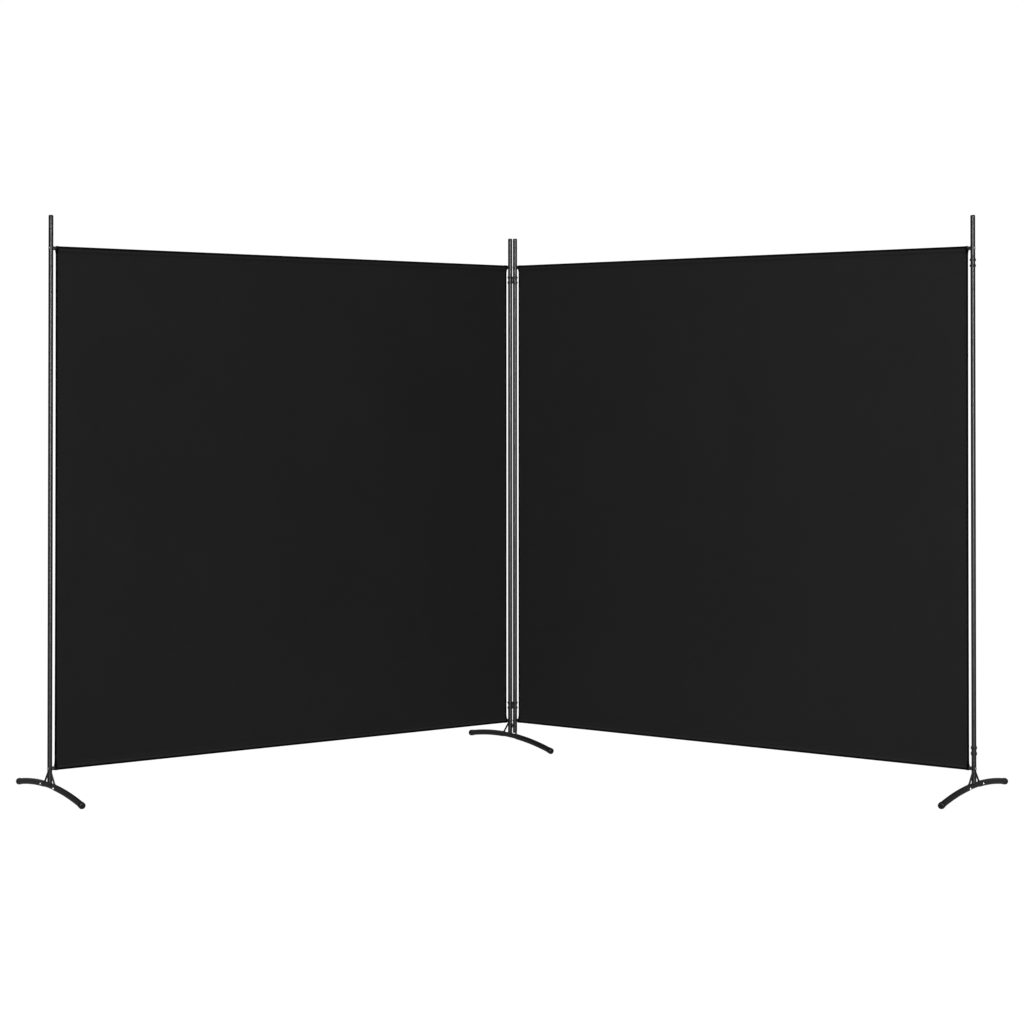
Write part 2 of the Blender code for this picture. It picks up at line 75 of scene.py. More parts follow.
class Side(Enum):
    """The two panels; the value is +1 where the panel's own +Y faces the front."""

    LEFT = 1
    RIGHT = -1


class End(Enum):
    """The two posts of a panel."""

    INNER = "inner"
    OUTER = "outer"


class Level(Enum):
    """The two rails of a panel."""

    TOP = "top"
    BOTTOM = "bottom"


# ---------------------------------------------------------------------------------------------
# Places and outlines


def move(x: float = 0.0, y: float = 0.0, z: float = 0.0) -> Array:
    """Return a matrix that moves."""
    return np.array(Matrix.Translation((x, y, z)))


def turn(angle: float, axis: str) -> Array:
    """Return a matrix that turns by an angle about X, Y or Z."""
    return np.array(Matrix.Rotation(angle, 4, axis))


def carry(points: Array, place: Array) -> Array:
    """Return points moved by a 4 by 4 matrix; the last axis of the array is x, y, z."""
    return points @ place[:3, :3].T + place[:3, 3]


def centre_of(node: str) -> Array:
    """Return the middle of a CAD node's box."""
    low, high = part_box(node)
    return (np.array(low) + np.array(high)) / 2


def rounded(corners: Sequence[tuple], steps: int = 4, closed: bool = False) -> Array:
    """Return an outline whose corners are arcs.

    An arc of radius r touches both edges of its corner at r / tan(half the corner's angle), and a
    support point stands beyond each end of it, so that the shading of the long edges stays even.

    Args:
        corners: (x, y) for a sharp corner or (x, y, radius) for a rounded one.
        steps: Straight pieces in each arc.
        closed: True where the last corner joins the first.

    Returns:
        Rows of x, y and wear, which is 1 in the middle of an arc.
    """
    places = np.array([corner[:2] for corner in corners], float)
    radii = [corner[2] if len(corner) > 2 else 0.0 for corner in corners]
    rows: list[Array] = []
    for i, (place, radius) in enumerate(zip(places, radii)):
        if not radius or (not closed and i in (0, len(places) - 1)):
            rows.append(np.array([[*place, 0.0]]))
            continue
        back, ahead = places[i - 1] - place, places[(i + 1) % len(places)] - place
        long_back, long_ahead = np.linalg.norm(back), np.linalg.norm(ahead)
        back, ahead = back / long_back, ahead / long_ahead
        half = math.acos(float(np.clip(back @ ahead, -1, 1))) / 2
        reach = radius / math.tan(half)
        middle = back + ahead
        centre = place + middle / np.linalg.norm(middle) * radius / math.sin(half)
        sweep = math.pi - 2 * half
        t = np.linspace(0, 1, steps + 1)[:, None]
        first, last = place + back * reach - centre, place + ahead * reach - centre
        arc = centre + (np.sin((1 - t) * sweep) * first + np.sin(t * sweep) * last) / math.sin(sweep)
        worn_and_shaded = np.sin(np.pi * t)
        if long_back > 3 * reach + radius:
            rows.append(np.array([[*(place + back * (reach + 1.5 * radius)), 0.0]]))
        rows.append(np.hstack([arc, worn_and_shaded]))
        if long_ahead > 3 * reach + radius:
            rows.append(np.array([[*(place + ahead * (reach + 1.5 * radius)), 0.0]]))
    return np.vstack(rows)


def hexagon(angles: Array) -> Array:
    """Return a regular hexagon's radius at each angle, 1 at its corners."""
    return math.cos(math.pi / 6) / np.cos(np.mod(angles, math.pi / 3) - math.pi / 6)


def window_angles() -> Array:
    """Return a drilled tube's columns: even across the hole's window, then even round the back."""
    return np.concatenate([np.linspace(-1, 1, WINDOW_SIDE + 1) * WINDOW_HALF,
                           np.linspace(WINDOW_HALF, 2 * math.pi - WINDOW_HALF, 44)[1:-1]])


# ---------------------------------------------------------------------------------------------
# Skins


class Skin:
    """Grids of points that together make one piece's surface."""

    def __init__(self) -> None:
        """Start with no grids."""
        self.points: list[Array] = []
        self.faces: list[Array] = []
        self.maps: list[Array] = []
        self.wear_and_shade: list[Array] = []
        self.count = 0

    def grid(self, points: Array, place: Array | None = None, wrap: tuple[bool, bool] = (False, False),
             keep: Array | None = None, chart: Array | None = None, wear_and_shade: Array | float = 0.0) -> None:
        """Add a grid: each cell of four neighbouring points is a face.

        Args:
            points: Array (rows, columns, 3), or (copies, rows, columns, 3) for equal grids.
            place: Matrix that carries the points, if any.
            wrap: Whether the last row joins the first, and the last column the first.
            keep: Mask of the cells to keep.
            chart: Array (rows, columns, 2) of the piece's own map.
            wear_and_shade: Wear at each point, or one value; on the cloth it holds painted shade and a
                painted highlight instead.
        """
        points = points if points.ndim == 4 else points[None]
        copies, rows, columns = points.shape[:3]
        i, j = np.meshgrid(np.arange(rows - (not wrap[0])), np.arange(columns - (not wrap[1])),
                           indexing="ij")
        next_i, next_j = (i + 1) % rows, (j + 1) % columns
        cells = np.stack([i * columns + j, i * columns + next_j, next_i * columns + next_j,
                          next_i * columns + j], axis=-1)
        cells = (cells if keep is None else cells[keep]).reshape(-1, 4)
        starts = self.count + np.arange(copies) * rows * columns
        self.faces.append((cells[None] + starts[:, None, None]).reshape(-1, 4))
        self.points.append((points if place is None else carry(points, place)).reshape(-1, 3))
        size = copies * rows * columns
        self.maps.append(np.zeros((size, 2)) if chart is None else chart.reshape(-1, 2))
        self.wear_and_shade.append(np.broadcast_to(wear_and_shade, points.shape[:3]).reshape(-1))
        self.count += size

    def turned(self, profile: Array, sides: int, place: Array | None = None, closed: bool = False,
               hexed: Array | None = None) -> None:
        """Add a profile turned about Z: x = r cos(a), y = r sin(a), z = height.

        Args:
            profile: Rows of radius, height and, if given, wear.
            sides: Columns round the axis.
            place: Matrix that carries the points, if any.
            closed: True where the profile's last row joins its first, as round a tube's wall.
            hexed: For each row, 1 where the ring is a hexagon and 0 where it is round.
        """
        angles = np.arange(sides) * 2 * math.pi / sides
        radius = profile[:, :1] * np.ones(sides)
        if hexed is not None:
            radius = radius * (1 + hexed[:, None] * (hexagon(angles) - 1))
        points = np.stack([radius * np.cos(angles), radius * np.sin(angles),
                           profile[:, 1:2] * np.ones(sides)], axis=-1)
        wear_and_shade = profile[:, 2:3] * np.ones(sides) if profile.shape[1] > 2 else 0.0
        self.grid(points, place, (closed, True), wear_and_shade=wear_and_shade)

    def pierced(self, radius: float, rows: Array, hole_z: float, hole_r: float, bevel: float,
                wear_and_shade: Array) -> Array:
        """Add a round wall about Z with one round hole facing +X.

        The wall is a grid over angle and height with a window left out. The window's square border
        is drawn in, along straight lines on the unrolled wall, to the hole's edge, where a point at
        distance w from the hole's middle line stands at the angle asin(w / radius).

        Args:
            radius: The wall's radius.
            rows: Heights of the grid's rows, which include the window's own rows.
            hole_z: Height of the hole's middle.
            hole_r: The hole's radius.
            bevel: Width of the slanting rim that leads into the hole; 0 for none.
            wear_and_shade: Wear of each row.

        Returns:
            The hole's innermost rim, as an array (points, 3).
        """
        per_side, wide, half = WINDOW_SIDE, WINDOW_HALF, hole_r * WINDOW_REACH
        window = np.linspace(-1, 1, per_side + 1)
        inside = np.flatnonzero((rows > hole_z - half - 1e-7) & (rows < hole_z + half + 1e-7))
        angles = window_angles()
        grid = np.stack([radius * np.cos(angles) * np.ones((len(rows), 1)),
                         radius * np.sin(angles) * np.ones((len(rows), 1)),
                         rows[:, None] * np.ones(len(angles))], axis=-1)
        keep = np.ones((len(rows) - 1, len(angles)), bool)
        keep[inside[0]:inside[-1], :per_side] = False
        self.grid(grid, wrap=(False, True), keep=keep, wear_and_shade=wear_and_shade[:, None])

        along = window[:-1]
        border = np.concatenate([np.stack([along, -np.ones(per_side)], 1),
                                 np.stack([np.ones(per_side), along], 1),
                                 np.stack([-along, np.ones(per_side)], 1),
                                 np.stack([-np.ones(per_side), -along], 1)])
        bearing = np.arctan2(border[:, 1], border[:, 0])
        rings, worn_and_shaded = [], []
        for share in np.linspace(0, 1, 7) ** 0.8:
            edge = hole_r + bevel
            rim_angle = np.arcsin(edge * np.cos(bearing) / radius)
            rim_height = edge * np.sin(bearing)
            angle = border[:, 0] * wide * (1 - share) + rim_angle * share
            height = hole_z + border[:, 1] * half * (1 - share) + rim_height * share
            rings.append(np.stack([radius * np.cos(angle), radius * np.sin(angle), height], -1))
            worn_and_shaded.append(max(0.0, share * 4 - 3))
        if bevel:
            angle = np.arcsin(hole_r * np.cos(bearing) / radius)
            deep = radius - bevel * 0.8
            rings.append(np.stack([deep * np.cos(angle), deep * np.sin(angle),
                                   hole_z + hole_r * np.sin(bearing)], -1))
            worn_and_shaded.append(1.0)
        self.grid(np.array(rings), wrap=(False, True), wear_and_shade=np.array(worn_and_shaded)[:, None])
        return rings[-1]

    def along(self, path: Array, outward: Array, radius: Array | float, sides: int,
              closed: bool = False, place: Array | None = None, wear_and_shade: float = 0.0) -> None:
        """Add a round bar along a path.

        A point is the path's point plus radius times (cos(a) outward + sin(a) sideways), where
        sideways is the path's direction crossed with outward. An open bar's ends are closed.

        Args:
            path: Points (n, 3).
            outward: A direction across the path at each point, (n, 3).
            radius: The bar's radius, at each point or one for all.
            sides: Columns round the bar.
            closed: True where the path is a ring.
            place: Matrix that carries the points, if any.
            wear_and_shade: Wear all over.
        """
        if closed:
            ahead = np.roll(path, -1, axis=0) - np.roll(path, 1, axis=0)
        else:
            ahead = np.gradient(path, axis=0)
        ahead = ahead / np.linalg.norm(ahead, axis=1, keepdims=True)
        outward = outward - ahead * (outward * ahead).sum(1, keepdims=True)
        outward = outward / np.linalg.norm(outward, axis=1, keepdims=True)
        sideways = np.cross(ahead, outward)
        size = np.broadcast_to(radius, len(path))
        if not closed:
            path = np.vstack([path[:1], path, path[-1:]])
            outward, sideways = (np.vstack([a[:1], a, a[-1:]]) for a in (outward, sideways))
            size = np.concatenate([[0.0], size, [0.0]])
        angles = np.arange(sides) * 2 * math.pi / sides
        points = (path[:, None] + size[:, None, None] * (np.cos(angles)[:, None] * outward[:, None]
                                                         + np.sin(angles)[:, None] * sideways[:, None]))
        self.grid(points, place, (closed, True), wear_and_shade=wear_and_shade)

    def piece(self, name: str, material: bpy.types.Material, body: str,
              replaces: Iterable[str] = (), place: Array | None = None,
              mapped: bool = False) -> bpy.types.Object:
        """Make the object: merge the grids' seams and poles, point its faces out, let it ride.

        Args:
            name: The piece's name.
            material: Its finish.
            body: The CAD body that it moves with.
            replaces: CAD nodes that it stands for.
            place: Matrix that carries all of it, if any.
            mapped: True to keep the grids' own map.

        Returns:
            The new object.
        """
        points, faces = np.vstack(self.points), np.vstack(self.faces)
        points = points if place is None else carry(points, place)
        mesh = bpy.data.meshes.new(name)
        mesh.vertices.add(len(points))
        mesh.vertices.foreach_set("co", points.astype(np.float32).ravel())
        mesh.loops.add(faces.size)
        mesh.loops.foreach_set("vertex_index", faces.astype(np.int32).ravel())
        mesh.polygons.add(len(faces))
        mesh.polygons.foreach_set("loop_start", np.arange(0, faces.size, 4, dtype=np.int32))
        mesh.update(calc_edges=True)
        worn_and_shaded = mesh.attributes.new(WEAR_AND_SHADE, "FLOAT", "POINT")
        worn_and_shaded.data.foreach_set("value", np.concatenate(self.wear_and_shade).astype(np.float32))
        if mapped:
            chart = np.vstack(self.maps)[faces.ravel()]
            mesh.uv_layers.new(name=CLOTH_MAP).data.foreach_set("uv", chart.astype(np.float32).ravel())
        bm = bmesh.new()
        bm.from_mesh(mesh)
        bmesh.ops.remove_doubles(bm, verts=bm.verts, dist=MERGE_DISTANCE)
        bmesh.ops.dissolve_degenerate(bm, edges=bm.edges, dist=MERGE_DISTANCE / 4)
        bmesh.ops.recalc_face_normals(bm, faces=bm.faces)
        bm.to_mesh(mesh)
        bm.free()
        mesh.shade_smooth()
        mesh.set_sharp_from_angle(angle=SHARP_ANGLE)
        mesh.materials.append(material)
        made = bpy.data.objects.new(name, mesh)
        bpy.context.scene.collection.objects.link(made)
        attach(made, body)
        if replaces:
            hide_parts(*replaces)
        log.info("%s: %d faces on %s", name, len(mesh.polygons), body)
        return made


# ---------------------------------------------------------------------------------------------
# Finishes


class Recipe:
    """A material in the making, with short calls that add and join its nodes."""

    def __init__(self, name: str) -> None:
        """Start from a plain Principled shader."""
        self.material = bpy.data.materials.new(name)
        self.material.use_nodes = True
        self.tree = self.material.node_tree
        self.shader = self.tree.nodes["Principled BSDF"]

    def feed(self, socket: bpy.types.NodeSocket, value: object) -> None:
        """Join a socket to another one, or set its value."""
        if isinstance(value, bpy.types.NodeSocket):
            self.tree.links.new(value, socket)
        else:
            socket.default_value = value

    def node(self, kind: str, inputs: dict | None = None, **settings: object) -> bpy.types.Node:
        """Add a node of a kind, with its settings and its inputs by name or number."""
        made = self.tree.nodes.new("ShaderNode" + kind)
        for key, value in settings.items():
            setattr(made, key, value)
        for key, value in (inputs or {}).items():
            self.feed(made.inputs[key], value)
        return made

    def place(self) -> bpy.types.NodeSocket:
        """Return the piece's own coordinates, in metres."""
        return self.node("TexCoord").outputs["Object"]

    def attribute(self, name: str) -> bpy.types.NodeSocket:
        """Return a value stored on the mesh."""
        return self.node("Attribute", attribute_name=name).outputs["Fac"]

    def noise(self, where: bpy.types.NodeSocket, scale: float, detail: float = 2.0) -> bpy.types.NodeSocket:
        """Return soft random values; scale is patches per metre."""
        return self.node("TexNoise", {"Vector": where, "Scale": scale, "Detail": detail}).outputs["Fac"]

    def sum(self, operation: str, a: object, b: object = 0.0) -> bpy.types.NodeSocket:
        """Return one sum on two values."""
        return self.node("Math", {0: a, 1: b}, operation=operation).outputs[0]

    def vector(self, operation: str, inputs: dict) -> bpy.types.NodeSocket:
        """Return one sum on vectors."""
        return self.node("VectorMath", inputs, operation=operation).outputs[0]

    def stretch(self, where: bpy.types.NodeSocket, scale: tuple) -> bpy.types.NodeSocket:
        """Return coordinates scaled along each axis."""
        return self.node("Mapping", {"Vector": where, "Scale": scale}).outputs[0]

    def remap(self, value: object, low: float, high: float, to_low: float, to_high: float,
              ) -> bpy.types.NodeSocket:
        """Return a value moved from one range to another and held inside it."""
        return self.node("MapRange", {0: value, 1: low, 2: high, 3: to_low, 4: to_high}).outputs[0]

    def mix(self, share: object, first: object, second: object) -> bpy.types.NodeSocket:
        """Return a colour between two."""
        return self.node("Mix", {0: share, 6: first, 7: second}, data_type="RGBA").outputs[2]

    def bump(self, height: object, distance: float, strength: float,
             under: bpy.types.NodeSocket | None = None) -> bpy.types.NodeSocket:
        """Return a normal tilted by a height; distance is the height's full size in metres."""
        inputs = {"Height": height, "Distance": distance, "Strength": strength}
        if under is not None:
            inputs["Normal"] = under
        return self.node("Bump", inputs).outputs[0]

    def shade(self, **values: object) -> bpy.types.Material:
        """Feed the shader's sockets, whose names' words are joined by _, and return the material."""
        for key, value in values.items():
            self.feed(self.shader.inputs[key.replace("_", " ")], value)
        return self.material


def grey(value: float, warmth: float = 0.0) -> tuple[float, float, float, float]:
    """Return a nearly grey colour; warmth above 0 reddens it and below 0 makes it bluer."""
    return (value * (1 + warmth), value, value * (1 - warmth), 1.0)


@dataclass(frozen=True)
class PowderCoat:
    """Satin black powder coat on steel tube: orange peel, faint mottling, burnished edges."""

    slot: str = "powder_coated_steel"
    colour: float = 0.0065
    burnished: float = 0.026
    roughness: float = 0.34
    peel: float = 700.0          # dimples per metre

    def make(self) -> bpy.types.Material:
        """Return the material."""
        recipe = Recipe("satin_powder_coat")
        where = recipe.place()
        cloud = recipe.noise(where, 34.0, 3.0)
        grain = recipe.noise(where, 4200.0, 2.0)
        rubbed = recipe.sum("MULTIPLY", recipe.attribute(WEAR_AND_SHADE),
                            recipe.remap(recipe.noise(where, 900.0, 3.0), 0.42, 0.66, 0.0, 1.0))
        base = recipe.mix(cloud, grey(self.colour * 0.8), grey(self.colour * 1.2))
        base = recipe.mix(recipe.remap(grain, 0.3, 0.7, 0.0, 0.35), base, grey(self.colour * 1.6))
        peel = recipe.bump(recipe.noise(where, self.peel, 2.0), 0.00009, 0.30)
        return recipe.shade(
            Base_Color=recipe.mix(rubbed, base, grey(self.burnished)),
            Roughness=recipe.sum("SUBTRACT", recipe.remap(cloud, 0.3, 0.7, self.roughness - 0.03,
                                                          self.roughness + 0.04),
                                 recipe.sum("MULTIPLY", rubbed, 0.08)),
            Normal=recipe.bump(grain, 0.00003, 0.22, peel))


@dataclass(frozen=True)
class MouldedPlastic:
    """Black moulded plastic with a fine spark-eroded grain and paler rubbed edges."""

    name: str
    slot: str
    colour: float
    roughness: float
    grain: float = 1600.0        # grains per metre

    def make(self) -> bpy.types.Material:
        """Return the material."""
        recipe = Recipe(self.name)
        where = recipe.place()
        cloud = recipe.noise(where, 60.0, 3.0)
        cells = recipe.node("TexVoronoi", {"Vector": where, "Scale": self.grain},
                            feature="SMOOTH_F1").outputs["Distance"]
        rubbed = recipe.sum("MULTIPLY", recipe.attribute(WEAR_AND_SHADE),
                            recipe.remap(recipe.noise(where, 700.0, 3.0), 0.40, 0.65, 0.0, 0.8))
        base = recipe.mix(cloud, grey(self.colour * 0.85), grey(self.colour * 1.2))
        return recipe.shade(
            Base_Color=recipe.mix(rubbed, base, grey(self.colour * 3.0)),
            Roughness=recipe.remap(cloud, 0.3, 0.7, self.roughness - 0.05, self.roughness + 0.05),
            Specular_IOR_Level=0.30, Normal=recipe.bump(cells, 0.00008, 0.40))


@dataclass(frozen=True)
class ZincPlate:
    """Bright zinc on the bolts: turned rings, small pits and a slightly dulled patch here and there."""

    slot: str = "zinc_plated_bolts"
    bright: float = 0.90
    dull: float = 0.62

    def make(self) -> bpy.types.Material:
        """Return the material."""
        recipe = Recipe("bright_zinc_plate")
        where = recipe.place()
        patches = recipe.remap(recipe.noise(where, 420.0, 4.0), 0.40, 0.72, 0.0, 1.0)
        scratches = recipe.noise(recipe.stretch(where, (1, 1, 14)), 1500.0, 3.0)
        return recipe.shade(
            Base_Color=recipe.mix(patches, grey(self.bright, -0.015), grey(self.dull, 0.03)),
            Metallic=1.0,
            Roughness=recipe.remap(patches, 0.0, 1.0, 0.38, 0.52),
            Normal=recipe.bump(scratches, 0.00002, 0.25))


@dataclass(frozen=True)
class WovenCloth:
    """Black plain-weave polyester: a dome wherever one thread lies over another, with uneven threads.

    On the cloth the wear_and_shade attribute holds painted light: at 1, along the sides and over the rails'
    far sides, it paints shade, darker in colour and duller in sheen and specular; below 0, on the pockets,
    it paints a paler highlight.
    """

    slot: str = "panel_cloth"
    colour: float = 0.0062
    thread: float = 0.00062      # spacing of the threads, in metres
    slubs: float = 14.0          # thick places per metre along a thread

    def make(self) -> bpy.types.Material:
        """Return the material."""
        recipe = Recipe("plain_weave_polyester")
        chart = recipe.node("UVMap", uv_map=CLOTH_MAP).outputs["UV"]
        drift = recipe.node("TexNoise", {"Vector": chart, "Scale": 42.0, "Detail": 1.0}).outputs["Color"]
        drift = recipe.vector("SUBTRACT", {0: drift, 1: (0.5, 0.5, 0.5)})
        drift = recipe.vector("SCALE", {0: drift, "Scale": self.thread * 1.2})
        laid = recipe.vector("ADD", {0: chart, 1: drift})
        across = recipe.node("SeparateXYZ", {0: laid})
        waves = [recipe.sum("SINE", recipe.sum("MULTIPLY", across.outputs[k], math.pi / self.thread))
                 for k in (0, 1)]
        crossing = recipe.sum("MULTIPLY", *waves)
        dome = recipe.sum("POWER", recipe.sum("ABSOLUTE", crossing), 0.6)
        over = recipe.remap(crossing, -0.12, 0.12, 0.0, 1.0)
        scales = (1 / self.thread, self.slubs, 1.0), (self.slubs, 1 / self.thread, 1.0)
        slubs = [recipe.noise(recipe.stretch(chart, scale), 1.0, 2.0) for scale in scales]
        slub = recipe.node("Mix", {0: over, 2: slubs[0], 3: slubs[1]}, data_type="FLOAT").outputs[0]
        cloud = recipe.noise(chart, 3.0, 3.0)
        dark, light = grey(self.colour * 0.55), grey(self.colour * 1.75, 0.01)
        thread = recipe.mix(recipe.remap(slub, 0.3, 0.7, 0.0, 1.0), dark, light)
        # painted shade in the gaps between the threads, where dome is low: the colour is drawn toward a
        # tenth of itself
        thread = recipe.mix(recipe.remap(dome, 0.05, 0.75, 0.90, 0.0), thread, grey(self.colour * 0.12))
        base = recipe.mix(recipe.remap(cloud, 0.35, 0.65, 0.0, 0.22), thread, grey(self.colour * 1.15))
        # painted shade above 0, along the cloth's edges and over the rails' far sides, and a painted
        # highlight below 0, on the pockets
        fold = recipe.attribute(WEAR_AND_SHADE)
        painted_edge_shade = recipe.remap(fold, 0.0, 1.0, 0.0, 1.0)
        base = recipe.mix(recipe.sum("MULTIPLY", painted_edge_shade, 0.85), base, grey(self.colour * 0.05))
        # painted highlight: below 0 the colour is lifted toward 2.2 times itself on the pockets
        base = recipe.mix(recipe.remap(fold, 0.0, -1.0, 0.0, 0.60), base, grey(self.colour * 2.2))
        height = recipe.sum("ADD", dome, recipe.sum("MULTIPLY", slub, 0.5))
        # specular and sheen are dimmed where shade is painted
        return recipe.shade(Base_Color=base, Roughness=recipe.remap(dome, 0.0, 1.0, 0.95, 0.62),
                            Specular_IOR_Level=recipe.remap(painted_edge_shade, 0.0, 1.0, 0.16, 0.03),
                            Sheen_Weight=recipe.remap(painted_edge_shade, 0.0, 1.0, 0.012, 0.0),
                            Sheen_Roughness=0.45, Normal=recipe.bump(height, 0.00020, 0.75))


@dataclass(frozen=True)
class SewingThread:
    """Black twisted polyester thread, a little glossier than the cloth."""

    slot: str = "panel_cloth"
    colour: float = 0.012

    def make(self) -> bpy.types.Material:
        """Return the material."""
        recipe = Recipe("twisted_sewing_thread")
        where = recipe.place()
        twist = recipe.node("TexWave", {"Vector": where, "Scale": 1300.0, "Distortion": 1.5},
                            bands_direction="DIAGONAL").outputs["Fac"]
        return recipe.shade(
            Base_Color=recipe.mix(twist, grey(self.colour * 0.6), grey(self.colour * 1.5)),
            Roughness=recipe.remap(twist, 0.0, 1.0, 0.62, 0.48),
            Normal=recipe.bump(twist, 0.00004, 0.4))


class Paintbox:
    """The finishes of the divider, each made once."""

    def __init__(self) -> None:
        """Make every material."""
        self.coat, self.zinc = PowderCoat(), ZincPlate()
        self.cap = MouldedPlastic("cap_plastic_grain", "cap_plastic", 0.0050, 0.46)
        self.clip = MouldedPlastic("clip_plastic_grain", "clip_plastic", 0.0050, 0.42, 2100.0)
        self.cloth, self.thread = WovenCloth(), SewingThread()
        self.made = {finish: finish.make()
                     for finish in (self.coat, self.zinc, self.cap, self.clip, self.cloth, self.thread)}

    def dress(self, skin: Skin, name: str, finish: object, body: str, replaces: Iterable[str] = (),
              place: Array | None = None, mapped: bool = False) -> bpy.types.Object:
        """Turn a skin into a finished piece on a body."""
        return skin.piece(name, self.made[finish], body, replaces, place, mapped)


# ---------------------------------------------------------------------------------------------
# Bolts


@dataclass
class RailBolt:
    """A bolt through a post into a rail, its barrel head flush in the post's access hole.

    It is turned about Z with its shank upwards; a hexagonal socket opens in the head.
    """

    head_r: float = 0.0042
    shank_r: float = 0.0025
    seat: float = 0.0044         # where the head bears, measured from the post's axis
    outer: float = -0.0078
    tip: float = 0.0235
    socket_r: float = 0.0023
    socket_depth: float = 0.0030
    mouth: float = 0.00025       # slant at the socket's mouth
    edge: float = 0.0004
    plain: float = 0.0030        # shank without thread, under the head
    pitch: float = 0.0008        # of the screw thread
    sides: int = 48

    def skin(self) -> Skin:
        """Return the bolt's surface."""
        made = Skin()
        o, h = self.outer, self.head_r
        outline = rounded([(0, o + self.socket_depth + 0.0005), (self.socket_r, o + self.socket_depth),
                           (self.socket_r, o + self.mouth), (self.socket_r + self.mouth, o),
                           (h, o, self.edge), (h, self.seat, 0.0002), (self.shank_r, self.seat),
                           (self.shank_r, self.seat + self.plain)], 3)
        hexed = (outline[:, 0] <= self.socket_r + 1e-6) & (outline[:, 1] < o + self.socket_depth + 0.001)
        made.turned(outline, self.sides, hexed=hexed.astype(float))
        self.add_thread(made)
        return made

    def add_thread(self, made: Skin) -> None:
        """Add the threaded shank.

        The radius falls from the crest by a third of the pitch times a triangle wave of height over
        pitch less angle over a full turn, and the end is drawn in to a point.
        """
        start = self.seat + self.plain
        heights = np.linspace(start, self.tip, int((self.tip - start) / self.pitch * 4) + 1)[:, None]
        sides = 24
        angles = np.arange(sides) * 2 * math.pi / sides
        phase = np.mod(heights / self.pitch - angles / (2 * math.pi), 1.0)
        groove = self.pitch / 3 * (1 - np.abs(2 * phase - 1))
        fade = np.clip((heights - start) / self.pitch, 0, 1)
        taper = np.clip((self.tip - heights) / 0.001, 0, 1) ** 0.5
        radius = (self.shank_r - groove * fade) * (0.75 + 0.25 * taper)
        points = np.stack([radius * np.cos(angles), radius * np.sin(angles),
                           heights * np.ones(sides)], axis=-1)
        poles = points[[0, -1]] * [0, 0, 1]
        made.grid(np.concatenate([poles[:1], points, poles[1:]]), wrap=(False, True))


@dataclass
class FootBolt:
    """A button-headed bolt along +X that holds a leg on its hub; its head stands on the leg."""

    head_r: float = 0.0040
    head_height: float = 0.0028
    shank_r: float = 0.0025
    under: float = 0.0098        # underside of the head, from the leg's axis
    tip: float = -0.0076
    socket_r: float = 0.0021
    socket_depth: float = 0.0018  # to the end of its flats
    socket_point: float = 0.0023  # to the bottom of its cone
    sides: int = 48

    def skin(self) -> Skin:
        """Return the bolt's surface, turned about Z and laid along X."""
        made = Skin()
        top = self.under + self.head_height
        dome = rounded([(self.socket_r + 0.0003, top), (self.head_r - 0.0006, top - 0.0006, 0.0016),
                        (self.head_r, self.under + 0.0005), (self.head_r, self.under, 0.0002),
                        (self.shank_r, self.under), (self.shank_r, self.tip, 0.0004), (0, self.tip)], 6)
        socket = np.array([(0, top - self.socket_point, 0), (self.socket_r, top - self.socket_depth, 0),
                           (self.socket_r, top - 0.00025, 1)])
        profile = np.vstack([socket, dome])
        hexed = np.concatenate([np.ones(len(socket)), np.zeros(len(dome))])
        made.turned(profile, self.sides, turn(math.pi / 2, "Y"), hexed=hexed)
        return made


# ---------------------------------------------------------------------------------------------
# Posts


